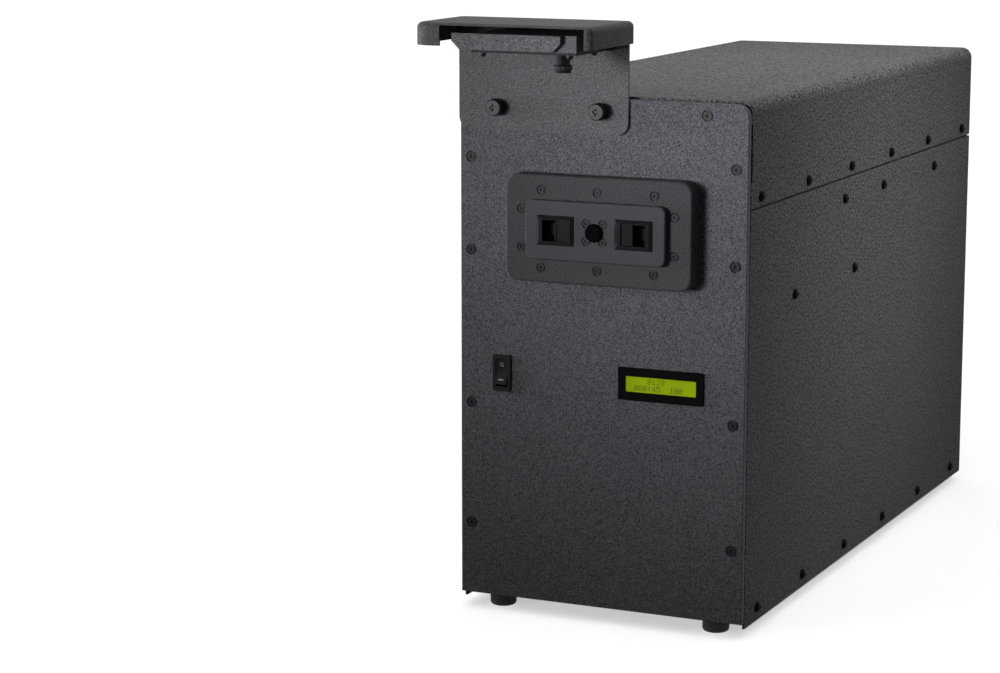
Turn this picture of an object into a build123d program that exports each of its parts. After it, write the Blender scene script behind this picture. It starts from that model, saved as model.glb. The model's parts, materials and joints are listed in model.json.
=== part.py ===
"""Drawer-loading hard drive degausser: a sheet-metal cabinet with a pulse coil around a media drawer.

Millimetres, +Z up, +X to the right of someone who faces the front, +Y towards the back.
The origin is on the floor, under the middle of the whole machine. Heights and levels are measured from
the side sheets' lower edges, a *_drop down from the cabinet's top, a *_rise up from its top, a *_below_mouth
down from the mouth's middle, and a *_setback back from the front panel's face.
"""
from build123d import *
import os

# Cabinet shell
cabinet_width = 260.0
cabinet_depth = 665.0
cabinet_height = 444.0
sheet = 2.0
cover_bend = 10.0
cover_skirt_height = 90.0
seam_gap = 1.7
relief_low_drop = 67.0
relief_high_drop = 19.0
relief_depth = 4.0
base_thickness = 3.0
pan_recess = 5.4
base_flange_height = 25.0
angle_leg = 20.0
angle_thickness = 3.0
rail_height = 44.0
rail_below_seam = 26.0

# Front and rear panels
panel_thickness = 6.0
panel_bottom_gap = 5.4
panel_top_gap = 2.2
panel_joint = 1.6
panel_corner = 11.0
panel_edge = 0.8
rear_clearance = 0.3
vent_slot_length = 60.0
vent_slot_width = 4.0
vent_slot_pitch = 9.0
vent_slot_count = 9
vent_level = 150.0

# Feet
foot_height = 13.4
foot_diameter = 23.0
foot_edge = 3.0
foot_side_inset = 30.5
foot_end_inset = 21.5
foot_recess = 5.0

# Screws
screw_clearance = 0.1
countersink_gap = 0.9
side_screw = 5.0
side_head = 9.4
side_head_height = 3.4
side_socket = 3.0
side_screw_reach = 9.0
panel_screw = 4.0
panel_head = 8.0
panel_socket = 2.5
panel_screw_reach = 12.0
frame_screw = 3.5
frame_head = 6.4
frame_socket = 2.2
frame_screw_reach = 21.0
bush_screw = 3.0
bush_head = 6.0
bush_socket = 2.0
small_screw = 3.0
small_head = 5.5
small_head_height = 3.0
small_socket = 2.5
small_screw_reach = 6.0

# Screw places
cover_row_margin = 31.5
base_row_margin = 38.0
row_count = 6
cover_row_above_seam = 10.0
base_row_height = 12.0
rail_row_below_seam = 18.0
rail_screw_setbacks = (255.0, 370.0)
rail_screw_end_inset = 128.0
panel_screw_inset = 10.0
panel_screw_heights = (68.3, 175.2)
panel_screw_drops = (135.4, 55.6)
panel_top_screw_inset = 36.0
panel_top_screw_drop = 10.0
rear_screw_inset = 12.0
rear_screw_bottom = 40.0
rear_screw_drop = 44.0
rear_screw_rows = 4

# Mouth frame on the front panel
mouth_x = 3.5
mouth_drop = 111.5
mouth_width = 168.0
mouth_tall = 91.0
mouth_thickness = 16.0
mouth_corner = 11.0
mouth_edge = 2.0
opening_width = 112.0
opening_tall = 38.0
opening_corner = 2.0
mouth_row_spacing = 51.0
mouth_row_offset = 32.8
mouth_side_offset = 69.0
mouth_side_spread = 16.2

# Media drawer
drawer_clearance = 0.8
drawer_travel = 285.0
block_width = 126.0
block_tall = 50.2
block_thickness = 6.0
block_corner = 6.5
block_edge = 1.2
block_seat_gap = 0.3
boss_depth = 14.0
tray_tall = 31.0
tray_wall = 3.0
tray_floor = 3.0
media_setback = 128.0
media_length = 152.0
tray_tail = 107.0
strip_thickness = 0.5
strip_width = 8.0
strip_inset = 12.0

# Slide latches in the drawer front
latch_side_gap = 5.9
latch_width = 34.2
latch_tall = 25.4
latch_proud = 2.2
latch_bevel = 2.9
latch_body_width = 28.0
latch_body_tall = 21.5
latch_window_width = 22.0
latch_window_tall = 18.0
latch_window_depth = 12.0
latch_floor = 1.5
latch_gap = 0.3
latch_travel = 7.0
pad_width = 10.4
pad_below_bezel = 1.3
pad_lip_width = 1.2
pad_lip_height = 0.7
tongue_thickness = 3.0
tongue_tall = 10.0
tongue_tip_gap = 0.6
heel_length = 8.0
strike_clearance = 0.7

# Centre bush in the drawer front
bush_diameter = 15.2
bush_proud = 3.0
bush_stem = 9.0
bush_stem_depth = 10.0
bush_edge = 1.2
bush_screw_offset = 7.5
bush_screw_reach = 23.0

# Coil around the drawer's tunnel
tunnel_wall = 3.0
tunnel_length = 402.0
bobbin_wall = 4.0
coil_build = 24.0
flange_width = 196.0
flange_thickness = 10.0
coil_front_setback = 121.0
coil_rear_setback = 287.0
crossbar_width = 20.0
crossbar_tall = 16.0
crossbar_below_mouth = 63.5

# Capacitor bank
can_diameter = 76.0
can_height = 180.0
can_rows = 3
can_pitch = 84.0
can_side_gap = 28.0
can_back_inset = 83.0
terminal_diameter = 12.0
terminal_height = 8.0
terminal_offset = 16.0
rack_level = 100.0
rack_thickness = 3.0
rack_margin = 12.0
rack_leg = 12.0
can_clearance = 0.3
bar_width = 14.0
bar_thickness = 4.0

# Charging transformer
core_width = 100.0
core_depth = 60.0
core_tall = 84.0
core_window_width = 18.0
core_window_tall = 50.0
core_limb = 32.0
core_side_gap = 18.0
core_setback = 95.0
winding_overhang = 17.0
winding_gap = 0.3

# Discharge thyristor on its heat sink
sink_width = 120.0
sink_depth = 90.0
sink_tall = 40.0
sink_base = 12.0
sink_fins = 9
sink_fin_thickness = 4.0
thyristor_diameter = 64.0
thyristor_tall = 28.0
strap_width = 20.0
strap_thickness = 3.0
strap_side_offset = 46.0

# Control board on the right side panel
board_length = 180.0
board_tall = 120.0
board_thickness = 1.6
board_standoff = 10.0
board_standoff_radius = 4.0
board_hole_inset = 8.0
board_setback = 60.0
board_below_crossbar = 20.0
relay_height = 15.0
stud_height = 22.0

# Display
display_side_inset = 74.4
display_below_mouth = 129.1
display_width = 77.2
display_tall = 28.2
display_proud = 1.6
display_corner = 1.5
display_body_width = 71.0
display_body_tall = 23.0
display_body_depth = 8.0
display_window_width = 63.6
display_window_tall = 13.4
display_glass_rim = 1.5
display_glass_depth = 1.2
display_glass_thickness = 2.0
display_board_width = 80.0
display_board_tall = 36.0
display_board_thickness = 1.6
cutout_clearance = 0.2

# Power switch
switch_side_inset = 39.2
switch_below_mouth = 129.3
switch_width = 17.3
switch_tall = 32.0
switch_proud = 2.0
switch_corner = 1.5
switch_body_width = 14.4
switch_body_tall = 27.0
switch_body_depth = 20.0
switch_window_width = 11.0
switch_window_tall = 23.8
switch_window_depth = 12.0
rocker_gap = 0.3
rocker_half = 10.6
rocker_end_height = 5.6
rocker_middle_height = 3.9
rocker_heel = 3.0
rocker_tilt = 9.0
pivot_setback = 3.0
pivot_radius = 1.5
pivot_clearance = 0.05

# Fan, inlet and interlock at the back
fan_side_gap = 10.0
fan_drop = 62.0
fan_size = 80.0
fan_depth = 25.0
fan_bore = 76.0
fan_corner = 4.0
fan_hub = 32.0
fan_tip_gap = 1.5
fan_blades = 7
fan_blade_thickness = 1.6
fan_blade_angle = 38.0
fan_strut = 5.0
fan_base = 4.0
fan_gap = 1.0
fan_shaft = 3.0
fan_shaft_clearance = 0.05
fan_screw_inset = 4.25
guard_wire = 2.0
guard_rings = 4
guard_ring_step = 9.5
inlet_side_gap = 13.0
inlet_level = 70.0
inlet_width = 50.0
inlet_tall = 28.0
inlet_flange = 3.0
inlet_body_width = 28.0
inlet_body_tall = 21.0
inlet_body_depth = 26.0
inlet_wall = 2.0
inlet_recess = 17.0
inlet_pin_length = 14.0
inlet_pin_spacing = 7.0
inlet_pin_width = 2.0
inlet_pin_tall = 4.0
interlock_width = 20.0
interlock_tall = 12.0
interlock_gap = 0.5

# Camera bracket, hood and camera over the mouth
bracket_past_screw = 25.0
bracket_drop = 32.0
bracket_thickness = 2.5
bracket_corner = 11.0
hood_side_overhang = 2.7
hood_reach = 88.0
hood_back_reach = 6.0
hood_rise = 63.0
hood_tall = 18.7
hood_wall = 2.0
hood_left_corner = 16.0
hood_right_corner = 6.0
hood_rear_corner = 6.0
hood_roof_bend = 5.0
notch_left = 26.0
notch_right = 6.2
camera_inset = 46.0
camera_width = 93.5
camera_front = 75.0
camera_rise = 39.0
camera_base_thickness = 2.0
camera_wall = 1.6
camera_roof_gap = 6.5
camera_screw_inset = 8.0
camera_screw_front = 5.5
camera_screw_rear = 17.5
camera_screw_head = 4.0
nameplate_inset = 30.5
nameplate_width = 97.0
nameplate_rise = 41.3
nameplate_thickness = 5.0
nameplate_cut = 7.0
lens_inset = 121.0
lens_reach = 60.0
lens_diameter = 12.0
lens_drop = 14.0
lens_flange = 4.0
lens_flange_thickness = 2.0
lens_lip = 1.2
focus_ring_wall = 1.4
focus_ring_length = 5.0
focus_ring_clearance = 0.1
focus_ring_end_gap = 0.3

# Thumbscrews that hold the camera bracket
thumb_diameter = 14.0
thumb_length = 10.0
thumb_chamfer = 0.8
thumb_gap = 0.3
thumb_recess = 5.6
thumb_recess_width = 1.8
thumb_recess_depth = 1.8

# Reference planes worked out from the sizes above
rear_reach = max(1.7 * guard_wire, guard_wire + 0.6 * small_head_height, inlet_flange, side_head_height)
front = hood_reach - (hood_reach + cabinet_depth + rear_reach) / 2
back = front + cabinet_depth
behind_panel = front + panel_thickness
pan_under = foot_height
under = pan_under - pan_recess
floor_top = pan_under + base_thickness
top = under + cabinet_height
half_width = cabinet_width / 2
inner_half = half_width - sheet
ceiling = top - sheet
seam = top - cover_skirt_height
mouth_z = top - mouth_drop
mouth_face = front - mouth_thickness
block_back = mouth_face - block_seat_gap
block_face = block_back - block_thickness
boss_width = opening_width - 2 * drawer_clearance
boss_tall = opening_tall - 2 * drawer_clearance
boss_back = mouth_face + boss_depth
tray_bottom = mouth_z - boss_tall / 2
media_front = front + media_setback
tray_back = media_front + media_length + tray_tail
latch_offset = boss_width / 2 - latch_side_gap - latch_body_width / 2
crossbar_z = mouth_z - crossbar_below_mouth
can_side_offset = inner_half - can_side_gap - can_diameter / 2
core_x = core_side_gap + core_width / 2 - inner_half
display_x = half_width - display_side_inset
display_z = mouth_z - display_below_mouth
switch_x = switch_side_inset - half_width
switch_z = mouth_z - switch_below_mouth
fan_x = inner_half - angle_leg - fan_side_gap - fan_size / 2
fan_z = top - fan_drop
inlet_x = angle_leg + inlet_side_gap + inlet_width / 2 - inner_half
inlet_z = under + inlet_level
bracket_left = -half_width
bracket_right = bracket_past_screw
camera_left = bracket_left + camera_inset
camera_base = top + camera_rise
lens_x = bracket_left + lens_inset
hood_left = bracket_left - hood_side_overhang
hood_right = bracket_right + hood_side_overhang
hood_roof = top + hood_rise
hood_front = front - hood_reach
roof_under = hood_roof - hood_wall
bracket_face = front - bracket_thickness
top_bar_z = top - panel_top_gap - panel_top_screw_drop
rear_inside = back - sheet

FORWARD = (0, -1, 0)
BACKWARD = (0, 1, 0)
UPWARD = (0, 0, 1)
DOWNWARD = (0, 0, -1)


def block(x0, x1, y0, y1, z0, z1):
    """A box between two corners."""
    middle = Pos((x0 + x1) / 2, (y0 + y1) / 2, (z0 + z1) / 2)
    return middle * Box(x1 - x0, y1 - y0, z1 - z0)


def plate(x, z, width, tall, corner, y0, y1):
    """A rounded rectangle that faces the front, between two depths."""
    base = Plane(origin=(x, y1, z), x_dir=(1, 0, 0), z_dir=FORWARD)
    return extrude(base * RectangleRounded(width, tall, corner), amount=y1 - y0)


def slab(x, y, width, depth, corner, z0, z1):
    """A rounded rectangle that lies flat, between two heights."""
    base = Plane(origin=(x, y, z0), x_dir=(1, 0, 0), z_dir=UPWARD)
    return extrude(base * RectangleRounded(width, depth, corner), amount=z1 - z0)


def rod(start, direction, radius, length):
    """A cylinder from a point along a direction."""
    return Plane(origin=start, z_dir=direction) * Pos(0, 0, length / 2) * Cylinder(radius, length)


def seat(x, y, z, direction):
    """A screw's seat: its origin is on the surface, and its Z axis points out of it."""
    return Plane(origin=(x, y, z), z_dir=direction)


def soften_front(solid, radius):
    """Round the outline of the face that looks to the front."""
    face = solid.faces().sort_by(Axis.Y)[0]
    return fillet(face.outer_wire().edges(), radius)


def group(solids):
    """Several separate solids that share one node."""
    return Compound(children=list(solids))


def socket(across, depth, level):
    """A hexagon recess for a key, cut down from a level."""
    outline = Pos(0, 0, level) * RegularPolygon(across / 2, 6, major_radius=False)
    return extrude(outline, amount=-depth)


def button_screw(shank, head, head_height, key, reach):
    """A domed button-head screw that stands on its seat."""
    dome = Pos(0, 0, head_height / 2) * Cylinder(head / 2, head_height)
    dome = fillet(dome.edges().group_by(Axis.Z)[-1], min(head_height * 0.8, head * 0.42))
    stem = Pos(0, 0, -reach / 2) * Cylinder(shank / 2, reach)
    return dome + stem - socket(key, head_height * 0.6, head_height)


def flat_screw(shank, head, key, reach):
    """A countersunk screw that lies flush with its seat."""
    cone_height = (head - shank) / 2
    cone = Pos(0, 0, -cone_height / 2) * Cone(shank / 2, head / 2, cone_height)
    stem = Pos(0, 0, -(cone_height + reach) / 2) * Cylinder(shank / 2, reach - cone_height)
    return cone + stem - socket(key, cone_height * 0.7, 0)


def flat_hole(shank, head, reach):
    """The hole that a flat screw fits: a straight pocket, open in a ring round its head, and a bore."""
    pocket_depth = (head - shank) / 2
    gap = screw_clearance
    rim = head / 2 + countersink_gap
    pocket = Pos(0, 0, -pocket_depth / 2) * Cylinder(rim, pocket_depth)
    stem = Pos(0, 0, -(pocket_depth + reach) / 2) * Cylinder(shank / 2 + gap, reach + pocket_depth)
    return pocket + stem


def through_hole(shank, reach):
    """A plain hole for a screw's shank, from just outside its seat inwards."""
    return Pos(0, 0, -reach / 2) * Cylinder(shank / 2 + screw_clearance, reach + 2 * sheet)


def spread(margin):
    """Even places along the cabinet's depth, a margin from each end."""
    step = (cabinet_depth - 2 * margin) / (row_count - 1)
    return [front + margin + step * index for index in range(row_count)]


def side_seats(depths, level):
    """Screw seats on both outer sides, at one level."""
    seats = []
    for side in (-1, 1):
        for depth in depths:
            seats.append(seat(side * half_width, depth, level, (side, 0, 0)))
    return seats


cover_seats = side_seats(spread(cover_row_margin), seam + cover_row_above_seam)
base_seats = side_seats(spread(base_row_margin), under + base_row_height)
rail_places = [front + place for place in rail_screw_setbacks] + [back - rail_screw_end_inset]
rail_seats = side_seats(rail_places, seam - rail_row_below_seam)
crossbar_places = (front + coil_front_setback, front + coil_rear_setback)
crossbar_seats = side_seats(crossbar_places, crossbar_z)

panel_levels = [under + height for height in panel_screw_heights] + [top - drop for drop in panel_screw_drops]
top_screw_x = half_width - panel_top_screw_inset
panel_seats = []
for side_sign in (-1, 1):
    for level in panel_levels:
        panel_seats.append(seat(side_sign * (half_width - panel_screw_inset), front, level, FORWARD))
panel_seats.append(seat(top_screw_x, front, top_bar_z, FORWARD))
thumb_places = {"left": -top_screw_x, "right": 0.0}

rear_step = (cabinet_height - rear_screw_bottom - rear_screw_drop) / (rear_screw_rows - 1)
rear_seats = []
for side_sign in (-1, 1):
    for index in range(rear_screw_rows):
        rear_seats.append(seat(side_sign * (half_width - rear_screw_inset), back,
                               under + rear_screw_bottom + index * rear_step, BACKWARD))

mouth_seats = []
for vertical in (-1, 1):
    for step in (-1, 0, 1):
        mouth_seats.append(seat(
            mouth_x + step * mouth_row_spacing, mouth_face, mouth_z + vertical * mouth_row_offset, FORWARD))
    for side_sign in (-1, 1):
        mouth_seats.append(seat(
            mouth_x + side_sign * mouth_side_offset, mouth_face,
            mouth_z + vertical * mouth_side_spread, FORWARD))

bush_seats = []
for side_sign in (-1, 1):
    for vertical in (-1, 1):
        bush_seats.append(seat(
            mouth_x + side_sign * bush_screw_offset, block_face,
            mouth_z + vertical * bush_screw_offset, FORWARD))

foot_places = []
for side_sign in (-1, 1):
    for foot_y in (front + foot_end_inset, back - foot_end_inset):
        foot_places.append((side_sign * (half_width - foot_side_inset), foot_y))


def side_holes(seats):
    """Clearance holes for screws that come in from the sides."""
    return [place * through_hole(side_screw, side_screw_reach) for place in seats]


def panel_holes():
    """Countersunk holes of the front panel's screws."""
    return [place * flat_hole(panel_screw, panel_head, panel_screw_reach) for place in panel_seats]


def mouth_holes():
    """Countersunk holes of the mouth frame's screws, through the panel as well."""
    return [place * flat_hole(frame_screw, frame_head, frame_screw_reach) for place in mouth_seats]


def rear_holes():
    """Holes of the rear panel's screws."""
    return [place * through_hole(side_screw, side_screw_reach) for place in rear_seats]


def thumb_holes():
    """Holes for the shanks of the two thumbscrews."""
    reach = bracket_thickness + panel_screw_reach
    return [seat(x, bracket_face, top_bar_z, FORWARD) * through_hole(panel_screw, reach)
            for x in thumb_places.values()]


def foot_holes():
    """Holes for the screws that hold the feet."""
    return [seat(x, y, pan_under, DOWNWARD) * through_hole(panel_screw, panel_screw_reach)
            for x, y in foot_places]


def make_base_pan():
    """The floor sheet, set up between the side sheets, with its two side flanges and front lip."""
    pan = block(-inner_half, inner_half, behind_panel, back, pan_under, floor_top)
    flange_front = behind_panel + angle_leg
    flange_back = rear_inside - angle_leg
    flange_top = under + base_flange_height
    for side in (-1, 1):
        edges = sorted((side * inner_half, side * (inner_half - angle_thickness)))
        pan += block(edges[0], edges[1], flange_front, flange_back, floor_top, flange_top)
    lip = inner_half - angle_leg
    pan += block(-lip, lip, behind_panel, behind_panel + angle_thickness, floor_top, flange_top)
    return pan - side_holes(base_seats) - foot_holes()


def make_side_panel(side):
    """One flat side sheet, from the underside to the seam."""
    edges = sorted((side * half_width, side * inner_half))
    sheet_metal = block(edges[0], edges[1], behind_panel + panel_joint, back, under, seam)
    return sheet_metal - side_holes(base_seats) - side_holes(rail_seats) - side_holes(crossbar_seats)


def make_top_cover():
    """The folded cover: a roof and two skirts down to the seam, with relief notches at the front."""
    skirt_bottom = seam + seam_gap
    outer = block(-half_width, half_width, behind_panel + panel_joint, back, skirt_bottom, top)
    outer = fillet(outer.edges().filter_by(Axis.Y).group_by(Axis.Z)[-1], cover_bend)
    inner = block(-inner_half, inner_half, behind_panel - sheet, back + sheet, skirt_bottom - sheet, ceiling)
    inner = fillet(inner.edges().filter_by(Axis.Y).group_by(Axis.Z)[-1], max(cover_bend - sheet, 0.5))
    cover = outer - inner
    notch = block(-half_width - sheet, half_width + sheet, behind_panel - sheet,
                  behind_panel + relief_depth, top - relief_low_drop, top - relief_high_drop)
    return cover - notch - side_holes(cover_seats)


def make_front_panel():
    """The thick front plate with its mouth, display and switch cut-outs."""
    low = under + panel_bottom_gap
    high = top - panel_top_gap
    panel = block(-half_width, half_width, front, behind_panel, low, high)
    panel = fillet(panel.edges().filter_by(Axis.Y).group_by(Axis.Z)[-1], panel_corner)
    panel = soften_front(panel, panel_edge)
    through = (front - sheet, behind_panel + sheet)
    panel -= plate(mouth_x, mouth_z, opening_width, opening_tall, opening_corner, *through)
    panel -= plate(display_x, display_z, display_body_width + 2 * cutout_clearance,
                   display_body_tall + 2 * cutout_clearance, display_corner, *through)
    panel -= plate(switch_x, switch_z, switch_body_width + 2 * cutout_clearance,
                   switch_body_tall + 2 * cutout_clearance, switch_corner, *through)
    return panel - panel_holes() - mouth_holes() - thumb_holes()


def make_rear_panel():
    """The back sheet with its fan bore, inlet cut-out and air slots."""
    reach = inner_half - rear_clearance
    sheet_metal = block(-reach, reach, rear_inside, back, floor_top, ceiling - rear_clearance)
    sheet_metal = fillet(sheet_metal.edges().filter_by(Axis.Y).group_by(Axis.Z)[-1], max(cover_bend, 0.5))
    through = (rear_inside - sheet, back + sheet)
    sheet_metal -= rod((fan_x, through[0], fan_z), BACKWARD, fan_bore / 2, 3 * sheet)
    sheet_metal -= plate(inlet_x, inlet_z, inlet_body_width + 2 * cutout_clearance,
                         inlet_body_tall + 2 * cutout_clearance, switch_corner, *through)
    middle = (vent_slot_count - 1) / 2
    for index in range(vent_slot_count):
        level = under + vent_level + (index - middle) * vent_slot_pitch
        for side in (-1, 1):
            sheet_metal -= plate(side * vent_slot_length * 0.7, level, vent_slot_length, vent_slot_width,
                                 vent_slot_width * 0.45, *through)
    return sheet_metal - rear_holes() - fan_holes()


def make_frame_angles():
    """Four upright corner angles and the bar behind the front panel's top edge."""
    pieces = []
    high = ceiling - max(cover_bend - sheet, 0.5)
    for side in (-1, 1):
        for end in (-1, 1):
            face = behind_panel if end < 0 else rear_inside
            inward = -end
            wide = sorted((side * inner_half, side * (inner_half - angle_leg)))
            thin = sorted((side * inner_half, side * (inner_half - angle_thickness)))
            across = sorted((face, face + inward * angle_thickness))
            along = sorted((face, face + inward * angle_leg))
            angle = block(*wide, *across, floor_top, high) + block(*thin, *along, floor_top, high)
            pieces.append(angle - panel_holes() - rear_holes())
    lip = inner_half - angle_leg
    bar = block(-lip, lip, behind_panel, behind_panel + angle_thickness,
                top_bar_z - angle_leg / 2, min(top_bar_z + angle_leg / 2, ceiling))
    pieces.append(bar - panel_holes() - thumb_holes())
    return group(pieces)


def make_side_rails():
    """Flat bars inside the seam, to which the cover's skirts and the side sheets are screwed."""
    rails = []
    low = seam - rail_below_seam
    for side in (-1, 1):
        edges = sorted((side * inner_half, side * (inner_half - angle_thickness)))
        rail = block(*edges, behind_panel + angle_leg, rear_inside - angle_leg, low, low + rail_height)
        rails.append(rail - side_holes(cover_seats) - side_holes(rail_seats))
    return group(rails)


def make_rubber_feet():
    """Four round feet with a recess for the screw's head."""
    feet = []
    for x, y in foot_places:
        foot = rod((x, y, 0), UPWARD, foot_diameter / 2, foot_height)
        foot = fillet(foot.edges().group_by(Axis.Z)[0], foot_edge)
        foot -= rod((x, y, 0), UPWARD, small_head + screw_clearance, foot_recess)
        foot -= rod((x, y, 0), UPWARD, panel_screw / 2 + screw_clearance, foot_height)
        feet.append(foot)
    return group(feet)


def make_foot_screws():
    """The screws that hold the feet, with their heads up in the recess."""
    grip = foot_height - foot_recess
    screw = button_screw(panel_screw, side_head, side_head_height, side_socket, grip + base_thickness)
    return group(seat(x, y, foot_recess, DOWNWARD) * screw for x, y in foot_places)


def make_mouth_frame():
    """The thick bolted plate around the drawer's opening, with a strike pocket for each latch tongue."""
    frame = plate(mouth_x, mouth_z, mouth_width, mouth_tall, mouth_corner, mouth_face, front)
    frame = soften_front(frame, mouth_edge)
    frame -= plate(mouth_x, mouth_z, opening_width, opening_tall, opening_corner,
                   mouth_face - sheet, front + sheet)
    for side in (-1, 1):
        far = tongue_tip() + latch_travel + strike_clearance
        edges = sorted((mouth_x, mouth_x + side * far))
        half = tongue_tall / 2 + strike_clearance
        frame -= block(*edges, tongue_front() - strike_clearance, tongue_back() + strike_clearance,
                       mouth_z - half, mouth_z + half)
    return frame - mouth_holes()


def tongue_tip():
    """How far a latch tongue's tip lies from the mouth's middle at rest."""
    return boss_width / 2 - tongue_tip_gap


def tongue_back():
    """The back face of a latch slider, just clear of its housing's floor."""
    return block_face + latch_window_depth - latch_gap


def tongue_front():
    """The front face of a latch tongue."""
    return tongue_back() - tongue_thickness


def latch_passage(side):
    """The slot that a latch's heel and tongue slide in."""
    inner_end = latch_offset - latch_window_width / 2 - heel_length - 2 * latch_gap
    edges = sorted((mouth_x + side * inner_end, mouth_x + side * (boss_width / 2 + sheet)))
    half = tongue_tall / 2 + latch_gap
    return block(*edges, tongue_front() - latch_gap, block_face + latch_window_depth,
                 mouth_z - half, mouth_z + half)


def make_drawer_front():
    """The drawer's front block: a face plate and a boss that enters the mouth, cut for both latches."""
    front_plate = plate(mouth_x, mouth_z, block_width, block_tall, block_corner, block_face, block_back)
    front_plate = soften_front(front_plate, block_edge)
    boss = plate(mouth_x, mouth_z, boss_width, boss_tall, opening_corner, block_back, boss_back)
    body = front_plate + boss
    for side in (-1, 1):
        body -= plate(mouth_x + side * latch_offset, mouth_z, latch_body_width, latch_body_tall,
                      switch_corner, block_face - sheet, block_face + latch_window_depth + latch_floor)
        body -= latch_passage(side)
    stem_reach = bush_stem_depth + sheet
    body -= rod((mouth_x, block_face - sheet, mouth_z), BACKWARD, bush_stem / 2, stem_reach)
    holes = [place * flat_hole(bush_screw, bush_head, bush_screw_reach) for place in bush_seats]
    return body - holes


def make_drawer_tray():
    """The long open trough behind the drawer's front, with cross walls round the media bay."""
    half = boss_width / 2
    high = tray_bottom + tray_tall
    tray = block(mouth_x - half, mouth_x + half, boss_back, tray_back, tray_bottom, high)
    bay = half - tray_wall
    ends = (boss_back, media_front - tray_wall, media_front + media_length, tray_back - tray_wall)
    for start, stop in zip(ends[:-1], ends[1:]):
        tray -= block(mouth_x - bay, mouth_x + bay, start + tray_wall, stop,
                      tray_bottom + tray_floor, high + sheet)
    holes = [place * through_hole(bush_screw, bush_screw_reach) for place in bush_seats]
    return tray - holes


def make_centre_bush():
    """The short black bush in the middle of the drawer's front."""
    head = rod((mouth_x, block_face - bush_proud, mouth_z), BACKWARD, bush_diameter / 2, bush_proud)
    head = fillet(head.edges().group_by(Axis.Y)[0], bush_edge)
    stem = rod((mouth_x, block_face, mouth_z), BACKWARD, bush_stem / 2, bush_stem_depth)
    return head + stem


def make_latch_housing(side):
    """A latch's bevelled bezel and the cup behind it."""
    x = mouth_x + side * latch_offset
    base = Plane(origin=(x, block_face, mouth_z), x_dir=(1, 0, 0), z_dir=FORWARD)
    outer = base * Rectangle(latch_width, latch_tall)
    rim = base.offset(latch_proud) * Rectangle(latch_width - 2 * latch_bevel, latch_tall - 2 * latch_bevel)
    bezel = loft([outer, rim])
    cup = plate(x, mouth_z, latch_body_width, latch_body_tall, switch_corner, block_face,
                block_face + latch_window_depth + latch_floor)
    housing = bezel + cup
    housing -= plate(x, mouth_z, latch_window_width, latch_window_tall, latch_gap,
                     block_face - latch_proud - sheet, block_face + latch_window_depth)
    return housing - latch_passage(side)


def make_latch_slider(side):
    """A latch's thumb pad with its lip, its tongue towards the strike and its heel behind the bezel."""
    x = mouth_x + side * latch_offset
    inner = x - side * (latch_window_width / 2 - latch_gap)
    outer = inner + side * pad_width
    half = latch_window_tall / 2 - latch_gap
    face = block_face - latch_proud + pad_below_bezel
    pad = block(*sorted((inner, outer)), face, tongue_back(), mouth_z - half, mouth_z + half)
    lip_edges = sorted((outer, outer - side * pad_lip_width))
    pad += block(*lip_edges, face - pad_lip_height, face, mouth_z - half, mouth_z + half)
    tip = mouth_x + side * tongue_tip()
    heel = inner - side * heel_length
    reach = sorted((heel, tip))
    pad += block(*reach, tongue_front(), tongue_back(),
                 mouth_z - tongue_tall / 2, mouth_z + tongue_tall / 2)
    return pad


def make_drawer_tunnel():
    """The square tube that the drawer runs in."""
    outer_width = opening_width + 2 * tunnel_wall
    outer_tall = opening_tall + 2 * tunnel_wall
    far = front + tunnel_length
    tube = plate(mouth_x, mouth_z, outer_width, outer_tall, opening_corner, behind_panel, far)
    return tube - plate(mouth_x, mouth_z, opening_width, opening_tall, opening_corner,
                        behind_panel - sheet, far + sheet)


def make_slide_strips():
    """Two thin glide strips on the tunnel's floor, under the tray."""
    low = mouth_z - opening_tall / 2
    strips = []
    for side in (-1, 1):
        x = mouth_x + side * (opening_width / 2 - strip_inset)
        strips.append(block(x - strip_width / 2, x + strip_width / 2, behind_panel,
                            tray_back, low, low + strip_thickness))
    return group(strips)


def bobbin_size():
    """Outer width and height of the bobbin's tube."""
    skin = 2 * (tunnel_wall + bobbin_wall)
    return opening_width + skin, opening_tall + skin


def winding_size():
    """Outer width and height of the winding."""
    width, tall = bobbin_size()
    return width + 2 * coil_build, tall + 2 * coil_build


def make_coil_bobbin():
    """The coil's former: a tube on the tunnel between two flanges that stand on the crossbars."""
    width, tall = bobbin_size()
    hole_width = opening_width + 2 * tunnel_wall
    hole_tall = opening_tall + 2 * tunnel_wall
    start, stop = crossbar_places
    half = flange_thickness / 2
    flange_bottom = crossbar_z + crossbar_tall / 2
    flange_tall = 2 * (mouth_z - flange_bottom)
    bobbin = plate(mouth_x, mouth_z, width, tall, opening_corner, start - half, stop + half)
    for place in crossbar_places:
        bobbin += plate(mouth_x, mouth_z, flange_width, flange_tall, opening_corner,
                        place - half, place + half)
    return bobbin - plate(mouth_x, mouth_z, hole_width, hole_tall, opening_corner,
                          start - flange_thickness, stop + flange_thickness)


def make_coil_winding():
    """The pulse winding between the bobbin's flanges."""
    width, tall = winding_size()
    start = crossbar_places[0] + flange_thickness / 2
    stop = crossbar_places[1] - flange_thickness / 2
    copper = plate(mouth_x, mouth_z, width, tall, coil_build * 0.6, start, stop)
    return copper - plate(mouth_x, mouth_z, *bobbin_size(), opening_corner, start - sheet, stop + sheet)


def make_coil_crossbars():
    """Two bars from side to side that carry the coil."""
    bars = []
    for place in crossbar_places:
        bar = block(-inner_half, inner_half, place - crossbar_width / 2, place + crossbar_width / 2,
                    crossbar_z - crossbar_tall / 2, crossbar_z + crossbar_tall / 2)
        bars.append(bar - side_holes(crossbar_seats))
    return group(bars)


def can_places():
    """The middle of each capacitor."""
    places = []
    first = back - can_back_inset - (can_rows - 1) * can_pitch
    for index in range(can_rows):
        for side in (-1, 1):
            places.append((side * can_side_offset, first + index * can_pitch))
    return places


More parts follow.
